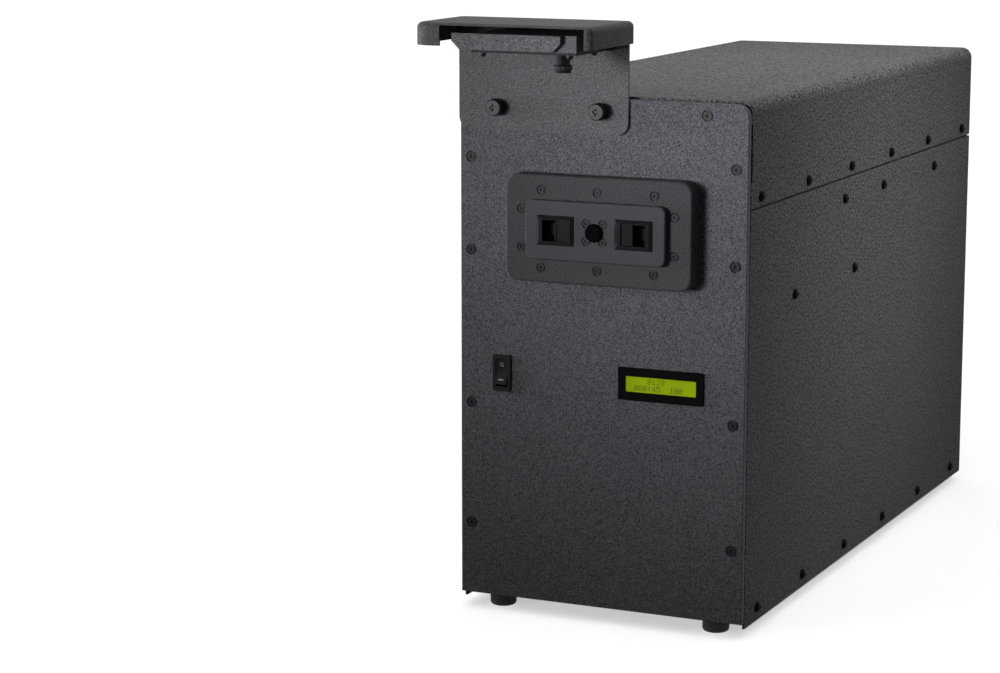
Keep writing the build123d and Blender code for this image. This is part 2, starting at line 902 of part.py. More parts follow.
def make_capacitors():
    """Energy-storage capacitors, each a can with two terminals."""
    cans = []
    for x, y in can_places():
        can = rod((x, y, floor_top), UPWARD, can_diameter / 2, can_height)
        can = fillet(can.edges().group_by(Axis.Z)[-1], can_diameter * 0.03)
        for offset in (-terminal_offset, terminal_offset):
            can += rod((x + offset, y, floor_top + can_height), UPWARD, terminal_diameter / 2,
                       terminal_height)
        cans.append(can)
    return group(cans)


def make_capacitor_rack():
    """A plate with a hole for each can, on four legs."""
    places = can_places()
    half_x = can_side_offset + can_diameter / 2 + rack_margin
    low_y = places[0][1] - can_diameter / 2 - rack_margin
    high_y = places[-1][1] + can_diameter / 2 + rack_margin
    level = floor_top + rack_level
    rack = block(-half_x, half_x, low_y, high_y, level, level + rack_thickness)
    for side in (-1, 1):
        for y0 in (low_y, high_y - rack_leg):
            edges = sorted((side * half_x, side * (half_x - rack_leg)))
            rack += block(*edges, y0, y0 + rack_leg, floor_top, level)
    holes = [rod((x, y, floor_top), UPWARD, can_diameter / 2 + can_clearance, can_height)
             for x, y in places]
    return rack - holes


def make_bus_bars():
    """Bars along the capacitors' terminals, and two straps up to the coil."""
    places = can_places()
    level = floor_top + can_height + terminal_height
    bars = []
    for side in (-1, 1):
        for offset in (-terminal_offset, terminal_offset):
            x = side * can_side_offset + offset
            bars.append(block(x - bar_width / 2, x + bar_width / 2, places[0][1] - bar_width,
                              places[-1][1] + bar_width, level, level + bar_thickness))
    coil_bottom = mouth_z - winding_size()[1] / 2
    y = sum(crossbar_places) / 2
    feet = ((mouth_x, floor_top + sink_tall + thyristor_tall),
            (mouth_x + strap_side_offset, floor_top + sink_tall))
    for x, low in feet:
        bars.append(block(x - strap_width / 2, x + strap_width / 2, y - strap_thickness / 2,
                          y + strap_thickness / 2, low, coil_bottom))
    return group(bars)


def make_transformer_core():
    """The laminated core of the charging transformer, with two windows."""
    y = front + core_setback
    core = block(core_x - core_width / 2, core_x + core_width / 2, y - core_depth / 2, y + core_depth / 2,
                 floor_top, floor_top + core_tall)
    middle = floor_top + core_tall / 2
    for side in (-1, 1):
        x = core_x + side * (core_limb / 2 + core_window_width / 2)
        core -= plate(x, middle, core_window_width, core_window_tall, winding_gap,
                      y - core_depth, y + core_depth)
    return core


def make_transformer_winding():
    """The winding round the core's middle limb."""
    y = front + core_setback
    middle = floor_top + core_tall / 2
    half_tall = core_window_tall / 2 - winding_gap
    width = core_limb + 2 * (core_window_width - winding_gap)
    depth = core_depth + 2 * winding_overhang
    coil = slab(core_x, y, width, depth, winding_overhang / 2, middle - half_tall, middle + half_tall)
    return coil - slab(core_x, y, core_limb + 2 * winding_gap, core_depth + 2 * winding_gap, winding_gap,
                       middle - core_tall, middle + core_tall)


def make_thyristor_heatsink():
    """A finned block on the floor under the coil."""
    y = sum(crossbar_places) / 2
    x0 = mouth_x - sink_width / 2
    sink = block(x0, x0 + sink_width, y - sink_depth / 2, y + sink_depth / 2,
                 floor_top + sink_tall - sink_base, floor_top + sink_tall)
    step = (sink_width - sink_fin_thickness) / (sink_fins - 1)
    for index in range(sink_fins):
        x = x0 + index * step
        sink += block(x, x + sink_fin_thickness, y - sink_depth / 2, y + sink_depth / 2,
                      floor_top, floor_top + sink_tall - sink_base)
    return sink


def make_discharge_thyristor():
    """The press-pack switch on its heat sink, with a waist between its two faces."""
    y = sum(crossbar_places) / 2
    level = floor_top + sink_tall
    puck = rod((mouth_x, y, level), UPWARD, thyristor_diameter / 2, thyristor_tall)
    waist = thyristor_tall * 0.4
    ring = rod((mouth_x, y, level + (thyristor_tall - waist) / 2), UPWARD, thyristor_diameter / 2, waist)
    ring -= rod((mouth_x, y, level), UPWARD, thyristor_diameter * 0.42, thyristor_tall)
    return puck - ring


def make_control_board():
    """The control board on the right side sheet, with its spacers and larger components."""
    face = inner_half - board_standoff
    y0 = front + board_setback
    z0 = crossbar_z - crossbar_tall / 2 - board_below_crossbar - board_tall
    board = block(face - board_thickness, face, y0, y0 + board_length, z0, z0 + board_tall)
    for y in (y0 + board_hole_inset, y0 + board_length - board_hole_inset):
        for z in (z0 + board_hole_inset, z0 + board_tall - board_hole_inset):
            board += rod((face, y, z), (1, 0, 0), board_standoff_radius, board_standoff)
    inside = face - board_thickness
    relay_step = board_length / 5
    for index in range(4):
        y = y0 + relay_step * (index + 0.6)
        board += block(inside - relay_height, inside, y, y + relay_step * 0.6, z0 + board_tall * 0.62,
                       z0 + board_tall * 0.82)
        board += rod((inside, y + relay_step * 0.3, z0 + board_tall * 0.3), (-1, 0, 0),
                     relay_step * 0.2, stud_height)
    return board


def make_display_bezel():
    """The display's black surround, which reaches through the panel."""
    z = display_z
    bezel = plate(display_x, z, display_width, display_tall, display_corner, front - display_proud, front)
    bezel = soften_front(bezel, min(panel_edge, display_proud * 0.45))
    bezel += plate(display_x, z, display_body_width, display_body_tall, display_corner, front,
                   front + display_body_depth)
    bezel -= plate(display_x, z, display_window_width, display_window_tall, display_glass_rim / 2,
                   front - 2 * display_proud, front + 2 * display_body_depth)
    rim = 2 * display_glass_rim
    return bezel - plate(display_x, z, display_window_width + rim, display_window_tall + rim,
                         display_glass_rim / 2, front - display_proud + display_glass_depth,
                         front + 2 * display_body_depth)


def make_display_glass():
    """The display's glass, seated behind the bezel's window."""
    rim = 2 * (display_glass_rim - cutout_clearance)
    y0 = front - display_proud + display_glass_depth
    return plate(display_x, display_z, display_window_width + rim, display_window_tall + rim,
                 display_glass_rim / 2, y0, y0 + display_glass_thickness)


def make_display_board():
    """The display's circuit board, on the back of the bezel, with a spacer up to the glass."""
    z = display_z
    y0 = front + display_body_depth
    board = block(display_x - display_board_width / 2, display_x + display_board_width / 2, y0,
                  y0 + display_board_thickness, z - display_board_tall / 2, z + display_board_tall / 2)
    glass_back = front - display_proud + display_glass_depth + display_glass_thickness
    return board + block(display_x - display_window_width / 2, display_x + display_window_width / 2,
                         glass_back, y0, z - display_window_tall / 2, z + display_window_tall / 2)


def pivot_line():
    """The rocker's pivot: its depth and height."""
    return front + pivot_setback, switch_z


def make_switch_housing():
    """The power switch's bezel and body, with bearings for the rocker's trunnions."""
    z = switch_z
    housing = plate(switch_x, z, switch_width, switch_tall, switch_corner, front - switch_proud, front)
    housing = soften_front(housing, min(panel_edge, switch_proud * 0.45))
    housing += plate(switch_x, z, switch_body_width, switch_body_tall, switch_corner, front,
                     front + switch_body_depth)
    housing -= block(switch_x - switch_window_width / 2, switch_x + switch_window_width / 2,
                     front - 2 * switch_proud, front + switch_window_depth,
                     z - switch_window_tall / 2, z + switch_window_tall / 2)
    bore = pivot_radius + pivot_clearance
    y, z = pivot_line()
    return housing - rod((switch_x - switch_width / 2 + sheet / 2, y, z), (1, 0, 0), bore,
                         switch_width - sheet)


def make_power_rocker():
    """The rocker with a dished face and two trunnions, turned to its off position."""
    half = rocker_half
    points = [(-rocker_heel, -half * 0.55), (rocker_end_height, -half), (rocker_middle_height, 0),
              (rocker_end_height, half), (-rocker_heel, half * 0.55)]
    width = switch_window_width - 2 * rocker_gap
    y, z = pivot_line()
    section = Plane(origin=(switch_x - width / 2, y, z), x_dir=(0, -1, 0), z_dir=(1, 0, 0))
    outline = section * make_face(Polyline(*[(u, -v) for u, v in points], close=True))
    rocker = extrude(outline, amount=width)
    length = switch_body_width - 2 * rocker_gap
    rocker += rod((switch_x - length / 2, y, z), (1, 0, 0), pivot_radius, length)
    return rocker.rotate(Axis((switch_x, y, z), (1, 0, 0)), -rocker_tilt)


def make_interlock_switch():
    """The switch at the tunnel's end that the closed drawer reaches."""
    low = mouth_z - opening_tall / 2
    y0 = tray_back + interlock_gap
    return block(mouth_x - interlock_width / 2, mouth_x + interlock_width / 2, y0, front + tunnel_length,
                 low, low + interlock_tall)


def fan_seats():
    """The four corner screws of the fan."""
    reach = fan_size / 2 - fan_screw_inset
    return [seat(fan_x + sx * reach, back, fan_z + sz * reach, BACKWARD)
            for sx in (-1, 1) for sz in (-1, 1)]


def fan_holes():
    """Holes for the fan's screws."""
    return [place * through_hole(small_screw, fan_depth / 2) for place in fan_seats()]


def make_fan_frame():
    """The fan's square frame with a hub base on four struts and a bearing bore."""
    z = fan_z
    y0 = rear_inside - fan_depth
    frame = plate(fan_x, z, fan_size, fan_size, fan_corner, y0, rear_inside)
    frame -= rod((fan_x, y0 - sheet, z), BACKWARD, fan_bore / 2, fan_depth + 2 * sheet)
    base = rod((fan_x, y0, z), BACKWARD, fan_hub / 2, fan_base)
    for angle in (45, 135):
        strut = Box(fan_bore + fan_strut, fan_base, fan_strut)
        base += Pos(fan_x, y0 + fan_base / 2, z) * Rot(0, angle, 0) * strut
    frame += base
    frame -= rod((fan_x, y0 - sheet, z), BACKWARD, fan_shaft / 2 + fan_shaft_clearance, fan_base + 2 * sheet)
    return frame - fan_holes()


def make_fan_rotor():
    """The fan's hub, its shaft and its pitched blades."""
    z = fan_z
    y0 = rear_inside - fan_depth
    hub_front = y0 + fan_base + fan_gap
    hub_back = rear_inside - fan_gap
    depth = hub_back - hub_front
    rotor = rod((fan_x, hub_front, z), BACKWARD, fan_hub / 2, depth)
    rotor += rod((fan_x, y0, z), BACKWARD, fan_shaft / 2, fan_base + 2 * fan_gap)
    tip = fan_bore / 2 - fan_tip_gap
    chord = depth * 0.8
    root = fan_hub / 2 - sheet
    disc = rod((fan_x, hub_front, z), BACKWARD, tip, depth)
    for index in range(fan_blades):
        blade = Pos(root + (tip - root) / 2 + sheet, 0, 0) * Rot(fan_blade_angle, 0, 0) * Box(
            tip - root + 2 * sheet, chord, fan_blade_thickness)
        turned = Rot(0, index * 360 / fan_blades, 0) * blade
        rotor += (Pos(fan_x, (hub_front + hub_back) / 2, z) * turned) & disc
    return rotor


def make_fan_guard():
    """Wire rings and spokes over the fan, with its screws as separate solids."""
    z = fan_z
    y = back + guard_wire / 2
    guard = None
    for index in range(guard_rings):
        radius = guard_ring_step * (index + 1)
        ring = Pos(fan_x, y + guard_wire * 0.7, z) * Rot(90, 0, 0) * Torus(radius, guard_wire / 2)
        guard = ring if guard is None else guard + ring
    reach = (fan_size / 2 - fan_screw_inset) * 2 ** 0.5
    for angle in (45, 135):
        spoke = Rot(0, angle, 0) * Rot(0, 90, 0) * Cylinder(guard_wire / 2, 2 * reach)
        guard += Pos(fan_x, y, z) * spoke
    eye = small_head * 0.75
    for place in fan_seats():
        tab = place * Pos(0, 0, guard_wire / 2) * Cylinder(eye, guard_wire)
        guard += tab
    guard -= fan_holes()
    screw = button_screw(small_screw, small_head, small_head_height * 0.6, small_socket * 0.8,
                         fan_depth / 2 + guard_wire)
    screws = [place * Pos(0, 0, guard_wire) * screw for place in fan_seats()]
    return group([guard] + screws)


def make_power_inlet():
    """The mains inlet in the rear panel: a flanged socket with its recess."""
    z = inlet_z
    inlet = plate(inlet_x, z, inlet_width, inlet_tall, switch_corner * 2, back, back + inlet_flange)
    inlet += plate(inlet_x, z, inlet_body_width, inlet_body_tall, switch_corner,
                   back - inlet_body_depth, back)
    return inlet - plate(inlet_x, z, inlet_body_width - 2 * inlet_wall, inlet_body_tall - 2 * inlet_wall,
                         switch_corner, back + inlet_flange - inlet_recess, back + 2 * inlet_flange)


def make_inlet_pins():
    """Three flat pins on the floor of the inlet's recess."""
    z = inlet_z
    start = back + inlet_flange - inlet_recess
    pins = []
    for step in (-1, 0, 1):
        x = inlet_x + step * inlet_pin_spacing
        level = z + (inlet_pin_tall / 2 if step == 0 else -inlet_pin_tall / 2)
        pins.append(block(x - inlet_pin_width / 2, x + inlet_pin_width / 2, start,
                          start + inlet_pin_length, level - inlet_pin_tall / 2, level + inlet_pin_tall / 2))
    return group(pins)


def make_camera_bracket():
    """The flat plate that stands on the front panel and carries the camera's hood."""
    bracket = block(bracket_left, bracket_right, bracket_face, front, top - bracket_drop, roof_under)
    bracket = fillet(bracket.edges().filter_by(Axis.Y).group_by(Axis.Z)[0], bracket_corner)
    return bracket - thumb_holes()


def make_camera_hood():
    """The hood: a shallow cap with rounded corners, open below and notched in front."""
    rear = front + hood_back_reach
    low = hood_roof - hood_tall
    cap = block(hood_left, hood_right, hood_front, rear, low, hood_roof)
    cap = fillet(cap.edges().filter_by(Axis.Z).group_by(Axis.Y)[-1], hood_rear_corner)
    cap = fillet(cap.edges().filter_by(Axis.Z).group_by(Axis.Y)[0].sort_by(Axis.X)[-1], hood_right_corner)
    cap = fillet(cap.edges().filter_by(Axis.Z).group_by(Axis.Y)[0].sort_by(Axis.X)[0], hood_left_corner)
    cap = fillet(cap.faces().sort_by(Axis.Z)[-1].outer_wire().edges(), hood_roof_bend)
    inside = block(hood_left + hood_wall, hood_right - hood_wall, hood_front + hood_wall, rear - hood_wall,
                   low - hood_wall, roof_under)
    inner_left = max(hood_left_corner - hood_wall, 0.5)
    inner_right = max(hood_right_corner - hood_wall, 0.5)
    inside = fillet(inside.edges().filter_by(Axis.Z).group_by(Axis.Y)[0].sort_by(Axis.X)[-1], inner_right)
    cap -= fillet(inside.edges().filter_by(Axis.Z).group_by(Axis.Y)[0].sort_by(Axis.X)[0], inner_left)
    notch = block(hood_left + notch_left, hood_right - notch_right, hood_front - hood_wall,
                  hood_front + hood_wall, low - hood_wall, roof_under)
    return cap - notch


def camera_seats():
    """The four corner screws under the camera's base plate."""
    right = camera_left + camera_width
    near = front - camera_front
    return [seat(x, y, camera_base, DOWNWARD)
            for x in (camera_left + camera_screw_inset, right - camera_screw_inset)
            for y in (near + camera_screw_front, bracket_face - camera_screw_rear)]


def make_camera_housing():
    """The camera's box on the bracket, below the hood's roof, open below, with a pillar for each screw."""
    right = camera_left + camera_width
    near = front - camera_front
    low = camera_base + camera_base_thickness
    high = roof_under - camera_roof_gap
    box = block(camera_left, right, near, bracket_face, low, high)
    box -= block(camera_left + camera_wall, right - camera_wall, near + camera_wall,
                 bracket_face - camera_wall, low - camera_wall, high - camera_wall)
    for place in camera_seats():
        x, y, _ = place.origin
        box += rod((x, y, low), UPWARD, small_head / 2, high - low - camera_wall / 2)
    return box - [place * through_hole(small_screw, small_screw_reach) for place in camera_seats()]


def make_nameplate():
    """The bare plate on the camera housing's front, with its lower corners cut."""
    near = front - camera_front
    left = bracket_left + nameplate_inset
    face = block(left, left + nameplate_width, near - nameplate_thickness, near,
                 top + nameplate_rise, roof_under - camera_roof_gap)
    return chamfer(face.edges().filter_by(Axis.Y).group_by(Axis.Z)[0], nameplate_cut)


def make_camera_base_plate():
    """The camera's bottom plate, with a hole for the lens."""
    level = camera_base
    bottom = block(camera_left, camera_left + camera_width, front - camera_front, bracket_face,
                   level, level + camera_base_thickness)
    bottom -= rod((lens_x, front - lens_reach, level - sheet), UPWARD, lens_diameter / 2, 3 * sheet)
    return bottom - [place * through_hole(small_screw, small_screw_reach) for place in camera_seats()]


def make_camera_plate_screws():
    """Small cap screws under the camera's base plate."""
    screw = button_screw(small_screw, small_head, camera_screw_head, small_socket, small_screw_reach)
    return group(place * screw for place in camera_seats())


def make_camera_lens():
    """The lens barrel that hangs below the base plate, with a flange inside and a lip at its end."""
    level = camera_base
    y = front - lens_reach
    barrel = rod((lens_x, y, level - lens_drop), UPWARD, lens_diameter / 2,
                 lens_drop + camera_base_thickness)
    barrel += rod((lens_x, y, level + camera_base_thickness), UPWARD, lens_diameter / 2 + lens_flange,
                  lens_flange_thickness)
    barrel += rod((lens_x, y, level - lens_drop - lens_lip), UPWARD,
                  lens_diameter / 2 + focus_ring_wall * 0.7, lens_lip)
    return barrel - rod((lens_x, y, level - lens_drop - lens_lip), UPWARD, lens_diameter * 0.36,
                        lens_drop * 0.4)


def make_focus_ring():
    """The ring that turns on the lens barrel, above its lip."""
    level = camera_base
    low = level - lens_drop + focus_ring_end_gap
    bore = lens_diameter / 2 + focus_ring_clearance
    ring = rod((lens_x, front - lens_reach, low), UPWARD, bore + focus_ring_wall, focus_ring_length)
    ring = chamfer(ring.edges().filter_by(GeomType.CIRCLE), focus_ring_wall * 0.3)
    return ring - rod((lens_x, front - lens_reach, low - sheet), UPWARD, bore,
                      focus_ring_length + 2 * sheet)


def make_thumbscrew(x):
    """A round-headed thumbscrew with a cross recess, through the bracket into the bar behind the panel."""
    head = Pos(0, 0, thumb_gap + thumb_length / 2) * Cylinder(thumb_diameter / 2, thumb_length)
    head = chamfer(head.edges().filter_by(GeomType.CIRCLE), thumb_chamfer)
    face = thumb_gap + thumb_length
    for angle in (0, 90):
        head -= Pos(0, 0, face) * Rot(0, 0, angle) * Box(
            thumb_recess, thumb_recess_width, 2 * thumb_recess_depth)
    reach = bracket_thickness + panel_screw_reach
    stem = Pos(0, 0, (thumb_gap - reach) / 2) * Cylinder(panel_screw / 2, reach + thumb_gap)
    return seat(x, bracket_face, top_bar_z, FORWARD) * (head + stem)


def placed_screws(seats, screw):
    """One screw on each seat."""
    return group(place * screw for place in seats)


side_button = button_screw(side_screw, side_head, side_head_height, side_socket, side_screw_reach)
panel_flat = flat_screw(panel_screw, panel_head, panel_socket, panel_screw_reach)
frame_flat = flat_screw(frame_screw, frame_head, frame_socket, frame_screw_reach)
bush_flat = flat_screw(bush_screw, bush_head, bush_socket, bush_screw_reach)

nodes = {
    "base_pan": make_base_pan(),
    "left_side_panel": make_side_panel(-1),
    "right_side_panel": make_side_panel(1),
    "top_cover": make_top_cover(),
    "front_panel": make_front_panel(),
    "rear_panel": make_rear_panel(),
    "frame_angles": make_frame_angles(),
    "side_rails": make_side_rails(),
    "rubber_feet": make_rubber_feet(),
    "foot_screws": make_foot_screws(),
    "front_panel_screws": placed_screws(panel_seats, panel_flat),
    "cover_screws": placed_screws(cover_seats, side_button),
    "base_screws": placed_screws(base_seats, side_button),
    "side_bracket_screws": placed_screws(rail_seats + crossbar_seats, side_button),
    "rear_panel_screws": placed_screws(rear_seats, side_button),
    "mouth_frame": make_mouth_frame(),
    "mouth_frame_screws": placed_screws(mouth_seats, frame_flat),
    "drawer_front": make_drawer_front(),
    "drawer_tray": make_drawer_tray(),
    "centre_bush": make_centre_bush(),
    "bush_screws": placed_screws(bush_seats, bush_flat),
    "left_latch_housing": make_latch_housing(-1),
    "right_latch_housing": make_latch_housing(1),
    "left_latch_slider": make_latch_slider(-1),
    "right_latch_slider": make_latch_slider(1),
    "drawer_tunnel": make_drawer_tunnel(),
    "slide_strips": make_slide_strips(),
    "interlock_switch": make_interlock_switch(),
    "coil_bobbin": make_coil_bobbin(),
    "coil_winding": make_coil_winding(),
    "coil_crossbars": make_coil_crossbars(),
    "capacitors": make_capacitors(),
    "capacitor_rack": make_capacitor_rack(),
    "bus_bars": make_bus_bars(),
    "transformer_core": make_transformer_core(),
    "transformer_winding": make_transformer_winding(),
    "thyristor_heatsink": make_thyristor_heatsink(),
    "discharge_thyristor": make_discharge_thyristor(),
    "control_board": make_control_board(),
    "display_bezel": make_display_bezel(),
    "display_glass": make_display_glass(),
    "display_board": make_display_board(),
    "switch_housing": make_switch_housing(),
    "power_rocker": make_power_rocker(),
    "fan_frame": make_fan_frame(),
    "fan_rotor": make_fan_rotor(),
    "fan_guard": make_fan_guard(),
    "power_inlet": make_power_inlet(),
    "inlet_pins": make_inlet_pins(),
    "camera_bracket": make_camera_bracket(),
    "camera_hood": make_camera_hood(),
    "camera_housing": make_camera_housing(),
    "nameplate": make_nameplate(),
    "camera_base_plate": make_camera_base_plate(),
    "camera_plate_screws": make_camera_plate_screws(),
    "camera_lens": make_camera_lens(),
    "focus_ring": make_focus_ring(),
    "left_thumbscrew": make_thumbscrew(thumb_places["left"]),
    "right_thumbscrew": make_thumbscrew(thumb_places["right"]),
}

os.makedirs("parts", exist_ok=True)
for name, shape in nodes.items():
    export_step(shape, f"parts/{name}.step")
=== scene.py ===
"""Finish and stage of a drawer-loading hard drive degausser, laid out as a Blender add-on."""

import json
import math

import bmesh
import bpy
import numpy as np
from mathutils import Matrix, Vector


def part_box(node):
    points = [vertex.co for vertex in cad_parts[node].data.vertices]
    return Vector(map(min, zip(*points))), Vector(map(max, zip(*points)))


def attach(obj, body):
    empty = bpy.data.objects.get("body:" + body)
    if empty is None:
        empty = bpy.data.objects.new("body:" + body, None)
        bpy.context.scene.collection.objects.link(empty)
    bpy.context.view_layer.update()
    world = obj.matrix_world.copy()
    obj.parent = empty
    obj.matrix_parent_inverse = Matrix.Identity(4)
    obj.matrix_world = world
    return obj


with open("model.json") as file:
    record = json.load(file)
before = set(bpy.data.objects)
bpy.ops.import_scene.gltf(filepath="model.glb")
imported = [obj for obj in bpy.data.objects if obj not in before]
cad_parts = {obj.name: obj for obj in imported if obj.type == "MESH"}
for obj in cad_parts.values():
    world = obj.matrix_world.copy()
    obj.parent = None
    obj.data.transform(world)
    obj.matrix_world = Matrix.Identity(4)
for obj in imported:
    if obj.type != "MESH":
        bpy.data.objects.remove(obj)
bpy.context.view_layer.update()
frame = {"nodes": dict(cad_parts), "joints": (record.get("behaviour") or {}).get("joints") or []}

bl_info = {
    "name": "Drive Degausser Finish",
    "version": (1, 0, 0),
    "blender": (4, 5, 0),
    "location": "View3D > Sidebar > Degausser",
    "description": "Paints a packed degausser, adds its fine detail and sets up a studio view",
    "category": "Object",
}

PHOTO_WIDTH = 1000
SENSOR_WIDTH = 36.0
WHITE = (1.0, 1.0, 1.0, 1.0)

# Lengths are in metres.
# Knurls: length of a thumbscrew's band, its distance from the head's face, and the plain edge of
# the focus ring.
KNURL_LENGTH = 0.0074
KNURL_SETBACK = 0.0012
RING_EDGE = 0.0008

# Display: characters in a line, dots from one character and from one line to the next, a
# character's middle row, and half the height of a dot's ink.
LINE_CHARACTERS = 16
CHARACTER_PITCH = 6
LINE_PITCH = 9
MIDDLE_ROW = 3
INK_HALF_HEIGHT = 0.00003

# Rocker, from its pivot: how far its ends and its middle stand forward, half its height, and the
# share of each half at which its mark sits.
ROCKER_END = 0.0056
ROCKER_DIP = 0.0039
ROCKER_HALF = 0.0106
MARK_SHARE = 0.62

# Marks on the rocker: half the width of the ring's line and of the bar, half the height of their
# ink, and the power that squares the bar's ends.
RING_HALF_WIDTH = 0.0003
BAR_HALF_WIDTH = 0.00045
MARK_HEIGHT = 0.00008
BAR_POWER = 0.4

# Lens glass: its distance from the barrel's lower rim, its radius and its bulge.
GLASS_SETBACK = 0.003
GLASS_RADIUS = 0.00428
GLASS_SAG = 0.0011

# Points of the new surfaces: round a small piece and round one ridge, and the distance within
# which doubles merge.
ROUND_POINTS = 48
RIDGE_POINTS = 8
MERGE_DISTANCE = 1e-7

# Looks: spread of the cabinet's grains about the middle of their noise, of which a small one gives
# sharp grains, strength of the display's own light, half the floor's side, and the sun's breadth in
# degrees.
COARSE_REACH = 0.09
DISPLAY_GLOW = 0.26
FLOOR_REACH = 12.0
SUN_ANGLE = 20

# Dots of a five by seven character, one row of five bits per number, top row first.
DIGIT_ROWS = {
    "0": (14, 17, 19, 21, 25, 17, 14),
    "1": (4, 12, 4, 4, 4, 4, 14),
    "2": (14, 17, 1, 2, 4, 8, 31),
    "3": (31, 2, 4, 2, 1, 17, 14),
    "4": (2, 6, 10, 18, 31, 2, 2),
    "5": (31, 16, 30, 1, 1, 17, 14),
    "6": (6, 8, 16, 30, 17, 17, 14),
    "7": (31, 1, 2, 4, 8, 8, 8),
    "8": (14, 17, 17, 14, 17, 17, 14),
    "9": (14, 17, 17, 15, 1, 2, 12),
    ":": (0, 12, 12, 0, 12, 12, 0),
    " ": (0, 0, 0, 0, 0, 0, 0),
}


def colour_property(label, words, value):
    """A linear RGB colour that the sidebar shows as a swatch."""
    return bpy.props.FloatVectorProperty(
        name=label, description=words, default=value, size=3, min=0.0, max=1.0, subtype="COLOR")


def length_property(label, words, value):
    """A length in metres."""
    return bpy.props.FloatProperty(
        name=label, description=words, default=value, min=0.0, unit="LENGTH", precision=5)


def level_property(label, words, value, top=1.0):
    """A plain number from zero to its top."""
    return bpy.props.FloatProperty(name=label, description=words, default=value, min=0.0, max=top)


class DegausserPaint(bpy.types.PropertyGroup):
    """Colours and grain of the finishes."""

    panel: colour_property("Front panel", "Powder coat of the front panel", (0.112, 0.116, 0.127))
    cabinet: colour_property(
        "Cabinet", "Powder coat of the cover and side sheets", (0.095, 0.096, 0.096))
    mouth: colour_property("Mouth frame", "Powder coat of the mouth frame", (0.066, 0.066, 0.073))
    drawer: colour_property(
        "Drawer front", "Satin coat of the drawer's front block", (0.052, 0.049, 0.058))
    bracket: colour_property(
        "Camera bracket", "Powder coat of the bracket and the camera box", (0.122, 0.126, 0.134))
    hood: colour_property("Camera hood", "Powder coat of the hood", (0.084, 0.086, 0.090))
    black: colour_property("Black parts", "Moulded black parts", (0.004, 0.004, 0.0045))
    display: colour_property("Display", "Lit face of the display", (0.300, 0.420, 0.003))
    grain: level_property(
        "Grain", "Grains of the front's powder coat in one metre", 1100.0, top=5000.0)
    coarse_grain: level_property(
        "Coarse grain", "Grains of the cabinet's powder coat in one metre", 470.0, top=5000.0)
    speckle: level_property(
        "Speckle", "How far the grains differ from the coat's mean colour", 0.75)
    gloss: level_property("Reflection", "Specular level of the cabinet's powder coat", 0.018)


class DegausserDetail(bpy.types.PropertyGroup):
    """Sizes of the fine detail that is added to the solids."""

    knurl_ridges: bpy.props.IntProperty(
        name="Knurl ridges", description="Ridges round a thumbscrew's head",
        default=38, min=8, max=120)
    knurl_depth: length_property("Knurl depth", "Height of the ridges on the thumbscrews", 0.00035)
    ring_ridges: bpy.props.IntProperty(
        name="Focus ridges", description="Ridges round the lens's focus ring",
        default=30, min=8, max=120)
    ring_depth: length_property(
        "Focus ridge depth", "Height of the ridges on the focus ring", 0.0003)
    dot_pitch: length_property("Dot pitch", "Distance between the display's dots", 0.00066)
    dot_size: length_property("Dot size", "Side of one dot on the display", 0.00056)
    top_line: bpy.props.StringProperty(
        name="Top line", description="Figures in the display's top line",
        default="     0120       ")
    bottom_line: bpy.props.StringProperty(
        name="Bottom line", description="Figures in the display's bottom line",
        default="  000:45  100   ")
    mark_ring: length_property("Off mark", "Radius of the ring on the rocker's upper half", 0.0014)
    mark_bar: length_property(
        "On mark", "Half the length of the bar on the rocker's lower half", 0.0026)


class DegausserStage(bpy.types.PropertyGroup):
    """Camera, light and floor of the studio view."""

    camera_offset: bpy.props.FloatVectorProperty(
        name="Camera", description="Place of the camera from the foot of the cabinet's front",
        default=(0.8913, -2.1057, 0.6524), size=3, subtype="TRANSLATION", unit="LENGTH")
    camera_yaw: bpy.props.FloatProperty(
        name="Yaw", description="Turn of the camera about the vertical",
        default=math.radians(25.054), subtype="ANGLE")
    camera_pitch: bpy.props.FloatProperty(
        name="Pitch", description="Tilt of the camera below the horizon",
        default=math.radians(10.191), subtype="ANGLE")
    focal_pixels: level_property(
        "Focal length", "Focal length in pixels of the picture's width", 2755.8, top=9999.0)
    sun: level_property("Sun", "Strength of the low light from the front left", 0.25, top=20.0)
    key: level_property(
        "Key", "Watts of the softbox at the left, before the front's upper half", 0.84, top=500.0)
    rim: level_property(
        "Rim", "Watts of the softbox that grazes the front from the left", 2.0, top=500.0)
    overhead: level_property("Overhead", "Watts of the softbox above the cover", 3.1, top=500.0)
    fill: level_property("Fill", "Watts of the softbox beside the right side", 0.60, top=500.0)
    ambient: level_property("Ambient", "Light from the surroundings", 0.08, top=5.0)
    bounce: level_property(
        "Floor bounce", "Share of the light that the floor sends back to the object", 0.05)
    floor_tone: level_property(
        "Floor tone", "How strongly shadows show on the floor", 7.5, top=10.0)
    floor_white: level_property(
        "Floor white", "Brightness of the floor in full shadow, as the camera sees it", 0.46)
    floor_mirrored: level_property(
        "Floor in reflections", "Brightness of the floor in glossy surfaces", 0.85)


def settings():
    """The three groups of settings of the current scene."""
    scene = bpy.context.scene
    return scene.degausser_paint, scene.degausser_detail, scene.degausser_stage


def shade(colour, factor):
    """A colour times a factor, with full alpha, kept within one."""
    return tuple(min(channel * factor, 1.0) for channel in colour) + (1.0,)


